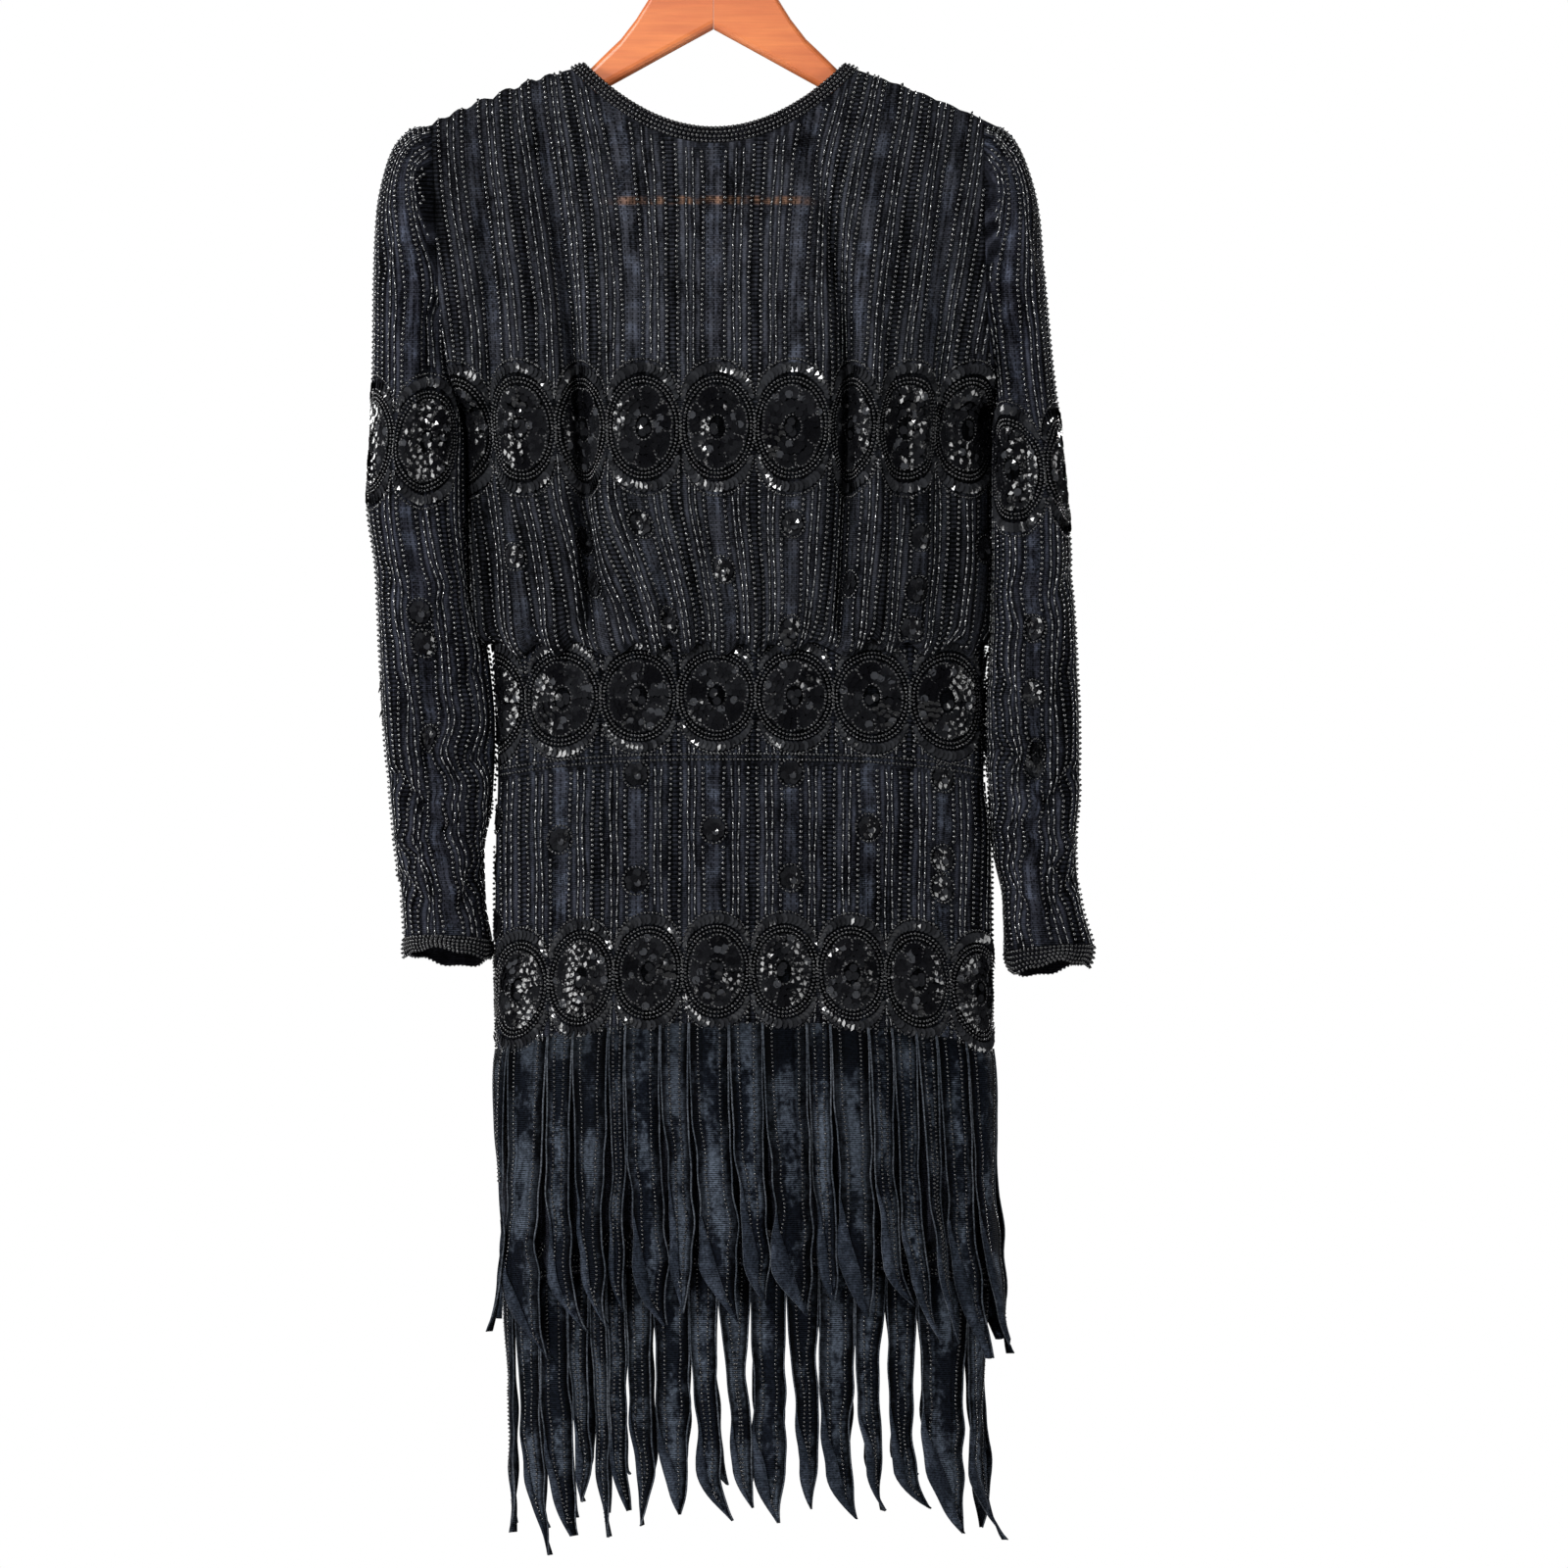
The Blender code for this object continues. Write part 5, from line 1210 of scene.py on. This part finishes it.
def make_looks():
    LOOKS.update({
        "bodice": cloth_look("beaded_net", (0.0200, 0.0212, 0.0265), (0.033, 0.037, 0.049), BODICE_PERIOD,
                             sides=0.66, low=0.76, bar=0.75),
        "skirt": cloth_look("skirt_net", (0.0130, 0.0140, 0.0188), (0.031, 0.036, 0.049), SKIRT_PERIOD),
        "sleeve": cloth_look("sleeve_net", (0.0125, 0.0134, 0.0182), (0.029, 0.033, 0.046), SLEEVE_PERIOD),
        "strip": satin_look("strip_satin", (0.0030, 0.0040, 0.0064), (0.040, 0.049, 0.064), margin=0.22),
        "turned": satin_look("turned_satin", (0.009, 0.0115, 0.0165), (0.022, 0.027, 0.037), 0.0012),
        "piping": satin_look("edge_cord", (0.030, 0.035, 0.043), (0.054, 0.060, 0.070), 0.0010),
        "band": satin_look("binding_cloth", (0.003, 0.003, 0.004), (0.006, 0.006, 0.008), 0.0012),
        "seed": glass_look("black_seed_glass", (0.002, 0.002, 0.003), 0.2, SEED_IOR),
        "small_seed": glass_look("small_seed_glass", (0.002, 0.002, 0.003), 0.2, SMALL_SEED_IOR),
        "bugle": glass_look("black_bugle_glass", (0.018, 0.019, 0.022), 0.22, BUGLE_IOR, 0.5),
        "sequin": sequin_look(),
        "wood": wood_look(),
        "steel": steel_look(),
    })


# ---------------------------------------------------------------- bodice

EDGE_COLUMNS, NECK_COLUMNS = 33, 51
# shares of the way from the top edge down to the underarm, closer where the cloth turns over
YOKE_STEPS = (0, 0.0008, 0.003, 0.008, 0.016, 0.028, *np.linspace(0.045, 1, 46))
LOWER_Z = (*np.arange(-405.0, -561.0, -5.2), *BLOUSE_TURN)
BODICE_TOP, LINES_END = -121.0, -573.5


def bodice_grid(face, chart):
    """The panel's fine outer skin, down from one shoulder, the neckline and the other; and its UV."""
    left_end, right_end = BODICE["left"][0], BODICE["right"][0]
    corner = NECK_HALF + BINDING_WIDTH + SEAM_GAP
    share = np.linspace(0, 1, EDGE_COLUMNS)[:-1]
    left, right = lerp(left_end, NECK_X - corner, share), lerp(right_end, NECK_X + corner, share)[::-1]
    neck_x, neck_z = neckline(face, np.sin(np.linspace(-1, 1, NECK_COLUMNS) * np.pi / 2),
                              1 + SEAM_GAP / BINDING_WIDTH)
    x_top = np.concatenate([left, neck_x, right])
    z_top = np.concatenate([shoulder_line(left), neck_z, shoulder_line(right)])
    left, right = read(BODICE, "left", z_top), read(BODICE, "right", z_top)
    share = (x_top - left) / (right - left)
    share[0], share[-1] = 0.0, 1.0
    z = np.array([lerp(z_top, UNDERARM_Z, step) for step in YOKE_STEPS]
                 + [np.full(len(share), z) for z in LOWER_Z])
    return panel_grid(bodice_point, face, chart, np.broadcast_to(share, z.shape), z)


def panel_grid(point, face, chart, share, z):
    """A face's points at places given as shares of its width and heights, and their UV."""
    u = chart.across(share.ravel(), z.ravel()).reshape(z.shape) / chart.period
    return point(face, share, z), np.stack([u, z * MM], -1)


def back_halves(grid, uv):
    """The two back halves, with a seam between them that is open at the slit."""
    middle = grid.shape[1] // 2
    slit_bottom = grid[0, middle, 2] - SLIT_DEPTH
    opening = np.where(grid[:, middle, 2] > slit_bottom, BINDING_GAP, SEAM_GAP) / 2
    for side, part, inner in (("left", slice(0, middle + 1), -1), ("right", slice(middle, None), 0)):
        half = grid[:, part].copy()
        half[:, inner, 0] += SIGN[side] * opening
        yield f"bodice_back_{side}", half, uv[:, part]


def above_shoulder(u):
    """The height at which a stripe's line starts, a little above the cloth."""
    return float(shoulder_line(np.clip(PANEL_X + u, -200.0, 195.0))) + 8.0


def add_bodice():
    heights = np.append(np.arange(BODICE_TOP, -575.0, -2.5), -575.3)
    for face in (FRONT, BACK):
        limits = bodice_shift(face), bodice_inside(face)
        chart = panel_chart(bodice_point, face, heights, BODICE_PERIOD, *limits)
        grid, uv = bodice_grid(face, chart)
        trims = Trims(f"bodice_{face}")
        ovals = band(chart, trims, "bodice", *chart.ends(BANDS["bodice"]["z"]))
        ovals += panel_flowers(chart, trims, BODICE, face, BODICE_FLOWERS, 12)
        stripes(chart, trims, above_shoulder, LINES_END, ovals)
        beads = trims.build()
        for name, part, part_uv in [("bodice_front", grid, uv)] if face == FRONT else back_halves(grid, uv):
            cloth_piece(name, part, -SIGN[face], "bodice", beads, part_uv, ovals, chart.period)
            beads = []


# ---------------------------------------------------------------- bindings and sleeves

NECK_BEAD_ROWS, WRIST_BEAD_ROWS = (0.1, 0.36, 0.63, 0.9), (0.05, 0.28, 0.51, 0.74, 0.97)
NECK_ROWS, WRIST_ROWS, WRIST_COLUMNS = 9, 7, 72
NECK_SWELL, WRIST_SWELL = 1.0, 1.1
SLEEVE_COLUMNS, HEAD_ROWS, SLEEVE_ROWS = 56, 5, 92
SLEEVE_TOP, SLEEVE_END, SLEEVE_REACH = -192.0, -800.0, 80.0
BACK_FLOWER_RISE = 18


def bead_rows(trims, grid, normals, shares):
    """Rows of beads along a binding, at shares of its width."""
    for share in shares:
        row = share * (len(grid) - 1)
        low = min(int(row), len(grid) - 2)
        line = lerp(grid[low], grid[low + 1], row - low)
        trims.string(*evenly(line, BINDING_PITCH, normals[low]), radius=BINDING_SEED_RADIUS)


def binding_point(face, along, across):
    x, z = neckline(face, along, across)
    left, right = read(BODICE, "left", z), read(BODICE, "right", z)
    point = bodice_point(face, (x - left) / (right - left), z)
    point[..., 1] = np.where(np.abs(along) > 1 - 1e-6, 0.0, point[..., 1])
    return point


def add_neck_binding():
    half = np.sin(np.linspace(0, np.pi / 2, 60))
    half[0] = BINDING_GAP / 2 / NECK_HALF
    front = np.concatenate([-half[:0:-1], [0.0], half[1:]])
    parts = ((BACK, -half[:-1]), (FRONT, front), (BACK, half[-2::-1]))
    shares = np.linspace(0, 1, NECK_ROWS)
    grid = np.array([np.concatenate([binding_point(face, along, share) for face, along in parts])
                     for share in shares])
    normals = grid_normals(grid, 1)
    grid = grid + normals * NECK_SWELL * np.sin(np.pi * shares)[:, None, None]
    trims = Trims("neck_binding")
    bead_rows(trims, grid, normals, NECK_BEAD_ROWS)
    cloth_piece("neck_binding", grid, 1, "band", trims.build(), flat_seams=False)


def add_wrist_binding(side):
    """A wavy ring between two rings; its first column is repeated for the rows of beads."""
    turns, shares = around(WRIST_COLUMNS), np.linspace(0, 1, WRIST_ROWS)
    upper, lower = (ring_points(ring, turns) for ring in WRIST_RINGS[side])
    grid = np.array([lerp(upper, lower, share) for share in shares])
    normals = grid_normals(grid, -SIGN[side], closed=True)
    wave = 1.1 * np.sin(5 * turns + 1.0) + 0.7 * np.sin(11 * turns)
    out = WRIST_SWELL * np.sin(np.pi * shares)[:, None] + wave * shares[:, None]
    grid = grid + normals * out[..., None]
    grid[..., 2] -= (2.2 * np.sin(3 * turns + 0.6) + 1.1 * np.sin(8 * turns)) * shares[:, None]
    name = f"wrist_binding_{side}"
    trims = Trims(name)
    all_round = [np.concatenate([part, part[:, :1]], axis=1) for part in (grid, normals)]
    bead_rows(trims, *all_round, WRIST_BEAD_ROWS)
    cloth_piece(name, grid, -SIGN[side], "band", trims.build(), closed=True, flat_seams=False)


def add_sleeve(side):
    skin = SleeveSkin(side)
    chart = skin.chart(side)
    name = f"sleeve_{side}"
    trims = Trims(name)
    ovals = band(chart, trims, name, -SLEEVE_REACH, SLEEVE_REACH)
    for x, z in SLEEVE_FLOWERS[side]:
        row = skin.point(skin.turns, np.full(len(skin.turns), float(z)))
        on_front = row[:, 1] < 0
        turn = skin.turns[on_front][np.argmin(np.abs(row[on_front, 0] - x))]
        ovals += flowers(chart, trims, [(turn, z), (-turn, z + BACK_FLOWER_RISE)])
    stripes(chart, trims, lambda u: SLEEVE_TOP, SLEEVE_END, ovals)
    turns = around(SLEEVE_COLUMNS)
    turns = np.where(turns > np.pi, turns - 2 * np.pi, turns)
    steps = np.concatenate([np.linspace(0, 1, HEAD_ROWS)[:-1], np.linspace(1, RING_COUNT, SLEEVE_ROWS)])
    grid = sleeve_grid(side, turns, steps)
    u = chart.across(np.broadcast_to(turns, grid.shape[:2]).ravel(), grid[..., 2].ravel())
    uv = np.stack([u.reshape(grid.shape[:2]) / chart.period, grid[..., 2] * MM], -1)
    cloth_piece(name, grid, -SIGN[side], "sleeve", trims.build(), uv, ovals, chart.period,
                closed=True, flat_seams=False)


# ---------------------------------------------------------------- waistband and skirt

PANEL_COLUMNS, WAIST_ROWS, SKIRT_GRID_ROWS = 111, 22, 56
ROUNDED = 0.35           # how far the columns gather towards the sides, where the section bends most
WAIST_SEAMS = (WAIST_BOTTOM + 1.5, WAIST_BOTTOM + 5.5)
SKIRT_LINES_END, SKIRT_BAND_ENDS_Z = -849.0, -806.0


def seam_row(chart, trims, z, ends):
    points, normals, ok = chart.at(np.linspace(ends[0] + 0.5, ends[1] - 0.5, 400), np.full(400, z))
    trims.string(*evenly(points[ok], RING_PITCH, normals[ok]))


def hem_band(chart, trims):
    """The lower arcs of a band along the skirt's hem, which show between the strips."""
    hem, ends = BANDS["hem"], chart.ends(HEM_ENDS_Z)
    half_width, half_height = hem["half_width"], hem["half_height"]
    for z in HEM_ROWS:
        seam_row(chart, trims, z, ends)
    for k in range(math.ceil(ends[0] / hem["pitch"]), math.floor(ends[1] / hem["pitch"]) + 1):
        lines = [oval_line(half_width - inset, half_height - inset, RING_PITCH, 205, 335)
                 for inset in (0.0, DOUBLE_RING)]
        places = oval_line(half_width - 9, half_height - 9, SEQUIN_PITCH, 190, 350)
        turns, leans = trims.random.uniform(0, 6.28, len(places)), trims.random.uniform(0.1, 0.7, len(places))
        sequins = [(x, z, turn, lean, 1.0, 0.9, 0.1) for (x, z), turn, lean in zip(places, turns, leans)]
        sew_on(chart, trims, hem["first"] + k * hem["pitch"], hem["z"], lines, sequins)


def skirt_piece(name, face, top, bottom, rows, chart, trims, ovals):
    even, bunched = np.linspace(0, 1, PANEL_COLUMNS), np.linspace(0, np.pi, PANEL_COLUMNS)
    share = (1 - np.cos(bunched)) / 2 * ROUNDED + even * (1 - ROUNDED)
    grid, uv = panel_grid(skirt_point, face, chart, *np.meshgrid(share, np.linspace(top, bottom, rows)))
    cloth_piece(f"{name}_{face}", grid, -SIGN[face], "skirt", trims.build(), uv, ovals,
                chart.period)


def add_waistband(face):
    chart, trims = skirt_chart(face, WAIST_TOP, WAIST_BOTTOM), Trims(f"waistband_{face}")
    ends = chart.ends(BANDS["waistband"]["z"])
    ovals = band(chart, trims, "waistband", *ends)
    stripes(chart, trims, lambda u: WAIST_TOP - 6, WAIST_BOTTOM + 7, ovals)
    for z in WAIST_SEAMS:
        seam_row(chart, trims, z, ends)
    skirt_piece("waistband", face, WAIST_TOP, WAIST_BOTTOM - 0.5, WAIST_ROWS, chart, trims, ovals)


def add_skirt(face):
    chart, trims = skirt_chart(face, SKIRT_TOP, SKIRT_BOTTOM), Trims(f"skirt_{face}")
    ovals = band(chart, trims, "skirt", *chart.ends(SKIRT_BAND_ENDS_Z))
    ovals += panel_flowers(chart, trims, SKIRT, face, SKIRT_FLOWERS, 22)
    stripes(chart, trims, lambda u: SKIRT_TOP - 2, SKIRT_LINES_END, ovals)
    hem_band(chart, trims)
    skirt_piece("skirt", face, SKIRT_TOP, SKIRT_BOTTOM, SKIRT_GRID_ROWS, chart, trims, ovals)


# ---------------------------------------------------------------- tiers of strips

WIDE_STRIP, SEED_MARGIN = 9.0, 2.2      # strips wider than this have beads, and keep them off the edges
TURNED_COLUMNS, TURNED_END, TURNED_LEAST = 4, 0.86, 0.8


def strips_behind(strips):
    """The back's strips hang behind the front's: a little narrower, shorter and straighter."""
    behind = []
    for k, strip in enumerate(strips):
        strip = dict(strip)
        for level in ("mid_", "low_"):
            strip[level + "left"] += BACK_INSET * (k > 0)
            strip[level + "right"] -= BACK_INSET * (k < len(strips) - 1)
        middle = (strip["low_left"] + strip["low_right"]) / 2
        tip = lerp(strip["tip"], middle, BACK_TIP_SHARE)
        strip["tip"] = min(max(tip, TIP_WIDTH), 1000 - TIP_WIDTH)
        strip["tip_z"] += BACK_TIP_LIFT[k % len(BACK_TIP_LIFT)]
        behind.append(strip)
    return behind


def tube(line, radius):
    """A closed round cord along a line."""
    along = unit(np.gradient(line, axis=0))
    side = unit(np.cross(along, [0.0, 1.0, 0.0]))
    deep = np.cross(along, side)
    turns = around(CORD_SIDES)[None, :, None]
    spokes = side[:, None] * np.cos(turns) + deep[:, None] * np.sin(turns)
    grid = line[:, None] + radius[:, None, None] * spokes
    quads = grid_quads(len(line), CORD_SIDES, 1, closed=True)
    count, k = grid.shape[0] * CORD_SIDES, np.arange(CORD_SIDES)
    n, last = (k + 1) % CORD_SIDES, count - CORD_SIDES
    caps = [np.stack([np.full(CORD_SIDES, count), k, n], -1),
            np.stack([np.full(CORD_SIDES, count + 1), n + last, k + last], -1)]
    return np.vstack([grid.reshape(-1, 3), line[:1], line[-1:]]), np.vstack([halved(quads), *caps])


class Joined:
    """Triangles of several parts in one mesh, each part with its own look."""

    def __init__(self):
        self.parts, self.count = [], 0

    def add(self, vertices, faces, look, strip=0.0, middle=1.0):
        faces = faces if faces.shape[1] == 3 else halved(faces)
        self.parts.append((vertices, faces + self.count, np.full(len(faces), look),
                           np.full(len(vertices), float(strip)), np.broadcast_to(middle, len(vertices))))
        self.count += len(vertices)

    def build(self, name, looks):
        vertices, faces, looks_of, strips, middles = (np.concatenate(part) for part in zip(*self.parts))
        return add_mesh(name, vertices, faces, [LOOKS[look] for look in looks], looks_of=looks_of,
                        values=[("strip", strips), ("middle", middles)])


def strip_grid(face, strip, heights, tiered, lift, random):
    """One strip's outer skin, from its header to its tip."""
    top, _, mid, low = heights
    z_end = strip["tip_z"]
    z = top + (z_end - top) * np.linspace(0, 1, STRIP_ROWS) ** 0.9
    left, right = (smooth(z, heights, [strip[level + side] / 1000 for level in ("", "", "mid_", "low_")])
                   for side in SIDES)
    point = np.clip((low - z) / (low - z_end), 0, 1)
    swing = (strip["tip"] - (strip["low_left"] + strip["low_right"]) / 2) / 1000
    middle = (left + right) / 2 + swing * point ** 1.7
    gap = STRIP_GAP if tiered else HEM_STRIP_GAP
    half = np.maximum((right - left) / 2 - gap * step_between(z, top + 5, mid), HALF_LEAST)
    half = half * np.clip(1 - point ** 1.5, 0.03, 1)
    curl, bent = random.uniform(-1, 1, 3), random.uniform(0, 6.28, 4)
    slack = step_between(z, top - 15, z_end + 60)
    middle = middle + slack * (0.0034 * np.sin(z / 23.0 + bent[0]) + 0.0018 * np.sin(z / 8.5 + bent[1]))
    half = half * (1 + slack * (0.08 * np.sin(z / 16.0 + bent[2]) + 0.05 * np.sin(z / 5.7 + bent[3])))
    s = np.linspace(-1, 1, STRIP_COLUMNS)[None, :]
    share = middle[:, None] + half[:, None] * s
    z = np.broadcast_to(z[:, None], share.shape)
    fall = np.clip((top - z) / (top - z_end), 0, 1)
    out = read(TIER, "out", z) if tiered else 0.0
    arch, twist = 1.8 * (1 - s ** 2) * fall ** 0.5, 3.4 * curl[0] * s * fall
    sway = (2.0 * curl[1] * np.sin(fall * 5.0 + curl[2] * 2) + lift) * fall ** 0.7
    return skirt_point(face, share, z, out + arch + twist + sway)


def read_across(grids, row, column):
    """Grids read at fractional columns of their rows."""
    low = np.minimum(column.astype(int), grids[0].shape[1] - 2)
    return [lerp(grid[row, low], grid[row, low + 1], (column - low)[:, None]) for grid in grids]


def line_across(grid, normals, distance):
    """The line that runs down a grid at a distance from its left edge, and where it fits."""
    run = np.linalg.norm(np.diff(grid, axis=1), axis=2)
    run = np.concatenate([np.zeros((len(grid), 1)), np.cumsum(run, axis=1)], axis=1)
    width = run[:, -1]
    want = distance if distance >= 0 else width + distance
    fits = (want > SEED_MARGIN) & (want < width - SEED_MARGIN)
    want = np.clip(want, 0, width)
    column = np.array([np.interp(w, row, np.arange(grid.shape[1])) for w, row in zip(want, run)])
    return *read_across((grid, normals), np.arange(len(grid)), column), fits.astype(float)


def turned_edge(cloth, grid, normals, width, facing, random):
    """The strip's left edge turned over to the front: a plain band that widens towards the tip."""
    start, wide = random.uniform(0.38, 0.58), random.uniform(0.4, 0.62)
    share = wide * step_between(np.linspace(0, 1, len(grid)), start, TURNED_END)
    keep = share * width > TURNED_LEAST
    if keep.sum() < 6:
        return
    cols = np.linspace(0, 1, TURNED_COLUMNS)
    band_grid = []
    for r in np.flatnonzero(keep):
        point, out = read_across((grid, normals), r, cols * share[r] * (grid.shape[1] - 1))
        rise = 0.6 + 1.6 * np.sin(np.pi * (0.15 + 0.75 * cols)) * min(1.0, share[r] * width[r] / 6)
        band_grid.append(point + out * rise[:, None])
    band_grid = np.array(band_grid)
    cloth.add(*shell(band_grid, grid_normals(band_grid, facing), facing, TURNED_CLOTH), 1)


def add_tier(tier, face, strips, heights, tiered):
    """A tier: pointed strips with corded edges, a turned-over left edge and two lines of beads."""
    name, facing = f"{tier}_{face}", -SIGN[face]
    cloth, trims, random = Joined(), Trims(name), np.random.default_rng(SEEDS[name] + 1)
    across = 1 - np.abs(np.linspace(-1, 1, STRIP_COLUMNS)) ** 2
    for k, strip in enumerate(strips if face == FRONT else strips_behind(strips)):
        grid = strip_grid(face, strip, heights, tiered, STRIP_LIFTS[k % len(STRIP_LIFTS)], random)
        normals = grid_normals(grid, facing)
        cloth.add(*shell(grid, normals, facing, STRIP_CLOTH), 0, k, np.tile(across, STRIP_ROWS * 2))
        width = np.linalg.norm(grid[:, -1] - grid[:, 0], axis=1)
        for column in (0, -1):
            line = grid[:, column] + normals[:, column] * CORD_OUT
            cloth.add(*tube(line, np.minimum(CORD_RADIUS, CORD_OUT + width * 0.12)), 2)
        turned_edge(cloth, grid, normals, width, facing, random)
        if width[4] > WIDE_STRIP:
            inset = min(SEEDS_FROM_CORD, 0.3 * width[4])
            for distance in (inset, -inset):
                line, outs, fits = line_across(grid, normals, distance)
                points, outs, fits = evenly(line, STRIP_PITCH, outs, fits)
                trims.string(points, outs, fits > 0.99, STRIP_SEED_RADIUS)
    made = cloth.build(f"{name}_cloth", ("strip", "turned", "piping"))
    finish_cloth(name, made, trims.build())


# ---------------------------------------------------------------- what each cloth was cut to

# in metres: the box of the cut, all round on a tube, its area, and what it hangs from
SHEETS = records("piece width length area hangs_from", (
    ("bodice_front", 0.500, 0.440, 0.186, "hanger_arm_left hanger_arm_right"),
    ("bodice_back_left", 0.250, 0.440, 0.088, "hanger_arm_left"),
    ("bodice_back_right", 0.240, 0.440, 0.084, "hanger_arm_right"),
    ("neck_binding", 0.0125, 0.500, 0.0061, "bodice_front bodice_back_left bodice_back_right"),
    ("sleeve_left", 0.270, 0.620, 0.123, "bodice_front bodice_back_left"),
    ("wrist_binding_left", 0.165, 0.017, 0.0027, "sleeve_left"),
    ("sleeve_right", 0.260, 0.625, 0.115, "bodice_front bodice_back_right"),
    ("wrist_binding_right", 0.170, 0.018, 0.0029, "sleeve_right"),
    ("waistband_front", 0.365, 0.101, 0.036, "bodice_front"),
    ("skirt_front", 0.400, 0.385, 0.148, "waistband_front"),
    ("waistband_back", 0.360, 0.101, 0.036, "bodice_back_left bodice_back_right"),
    ("skirt_back", 0.395, 0.385, 0.146, "waistband_back"),
    ("upper_tier_front", 0.420, 0.246, 0.096, "skirt_front"),
    ("lower_tier_front", 0.380, 0.212, 0.077, "skirt_front"),
    ("upper_tier_back", 0.400, 0.242, 0.088, "skirt_back"),
    ("lower_tier_back", 0.370, 0.201, 0.069, "skirt_back"),
))


def declare_sheets():
    for sheet in SHEETS:
        cloth, beads = MADE[sheet["piece"]]
        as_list(beads)


# ---------------------------------------------------------------- stage, lights and camera

PICTURE_X, PICTURE_Z = 0.0518, -0.6732     # metres: the middle of the photograph, in the dress's plane
PICTURE_SIDE = 1.152                       # and its side there
CAMERA_DISTANCE, SENSOR = 3.4, 36.0
FLOOR_Z, FLOOR_RADII, FLOOR_SIDES = -1.62, (0.02, 1.7), 64
AMBIENT, LIT_AT = 0.03, (0.0, 0.0, -0.62)
# each light's x, y, z, size and power
LIGHTS = {
    "key_light": (-1.4, -2.45, 0.85, 0.35, 104.0),
    "left_softbox": (-2.62, -1.56, -0.35, 0.9, 98.0),
    "right_softbox": (2.64, -1.55, -0.3, 0.9, 52.0),
    "top_light": (0.0, -0.3, 1.5, 1.0, 6.0),
    "back_softbox_left": (-2.3, 2.2, 0.3, 1.0, 40.0),
    "back_softbox_right": (1.9, 2.4, 0.6, 0.6, 60.0),
}
CAD_LOOKS = {"hanger_arm_left": "wood", "hanger_arm_right": "wood", "hanger_bar": "wood",
             "hanger_hook": "steel", "neck_button": "band", "neck_loop": "band"}


def put(name, data, place):
    """A light or camera in the scene."""
    made = bpy.data.objects.new(name, data)
    made.location = place
    bpy.context.scene.collection.objects.link(made)
    return made


def add_floor():
    """A round pale floor."""
    rims = [ring_of(FLOOR_SIDES, radius, FLOOR_Z) for radius in FLOOR_RADII]
    quads = grid_quads(2, FLOOR_SIDES, 1, closed=True)
    add_mesh("floor", np.vstack(rims) / MM, quads, [paper_look()])


def add_lights():
    for name, (x, y, z, size, power) in LIGHTS.items():
        data = bpy.data.lights.new(name, "AREA")
        data.shape, data.size, data.energy = "SQUARE", size, power
        toward = Vector(LIT_AT) - Vector((x, y, z))
        put(name, data, (x, y, z)).rotation_euler = toward.to_track_quat("-Z", "Y").to_euler()


def add_world():
    """A white background that gives off only a little light of its own."""
    world = bpy.data.worlds.new("studio")
    world.use_nodes = True
    tree = world.node_tree
    background = tree.nodes["Background"]
    background.inputs["Color"].default_value = (1.0, 1.0, 1.0, 1.0)
    seen, strength = tree.nodes.new("ShaderNodeLightPath"), tree.nodes.new("ShaderNodeMapRange")
    tree.links.new(seen.outputs["Is Camera Ray"], strength.inputs["Value"])
    strength.inputs["To Min"].default_value, strength.inputs["To Max"].default_value = AMBIENT, 1.0
    tree.links.new(strength.outputs[0], background.inputs["Strength"])
    bpy.context.scene.world = world
    bpy.context.scene.view_settings.view_transform = "Standard"


def add_camera():
    data = bpy.data.cameras.new("camera")
    data.sensor_width, data.lens = SENSOR, SENSOR * CAMERA_DISTANCE / PICTURE_SIDE
    camera = put("camera", data, (PICTURE_X, -CAMERA_DISTANCE, PICTURE_Z))
    camera.rotation_euler = (math.pi / 2, 0.0, 0.0)
    bpy.context.scene.camera = camera


def finish_cad_nodes():
    for name, look in CAD_LOOKS.items():
        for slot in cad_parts[name].material_slots:
            slot.material = LOOKS[look]


def main():
    make_looks()
    add_floor()
    add_lights()
    add_world()
    add_camera()
    add_bodice()
    add_neck_binding()
    for side in SIDES:
        add_sleeve(side)
        add_wrist_binding(side)
    for face in (FRONT, BACK):
        add_waistband(face)
        add_skirt(face)
        add_tier("upper_tier", face, HIP_STRIPS, HIP_STRIP_HEIGHTS, True)
        add_tier("lower_tier", face, HEM_STRIPS, HEM_STRIP_HEIGHTS, False)
    finish_cad_nodes()
    declare_sheets()


main()
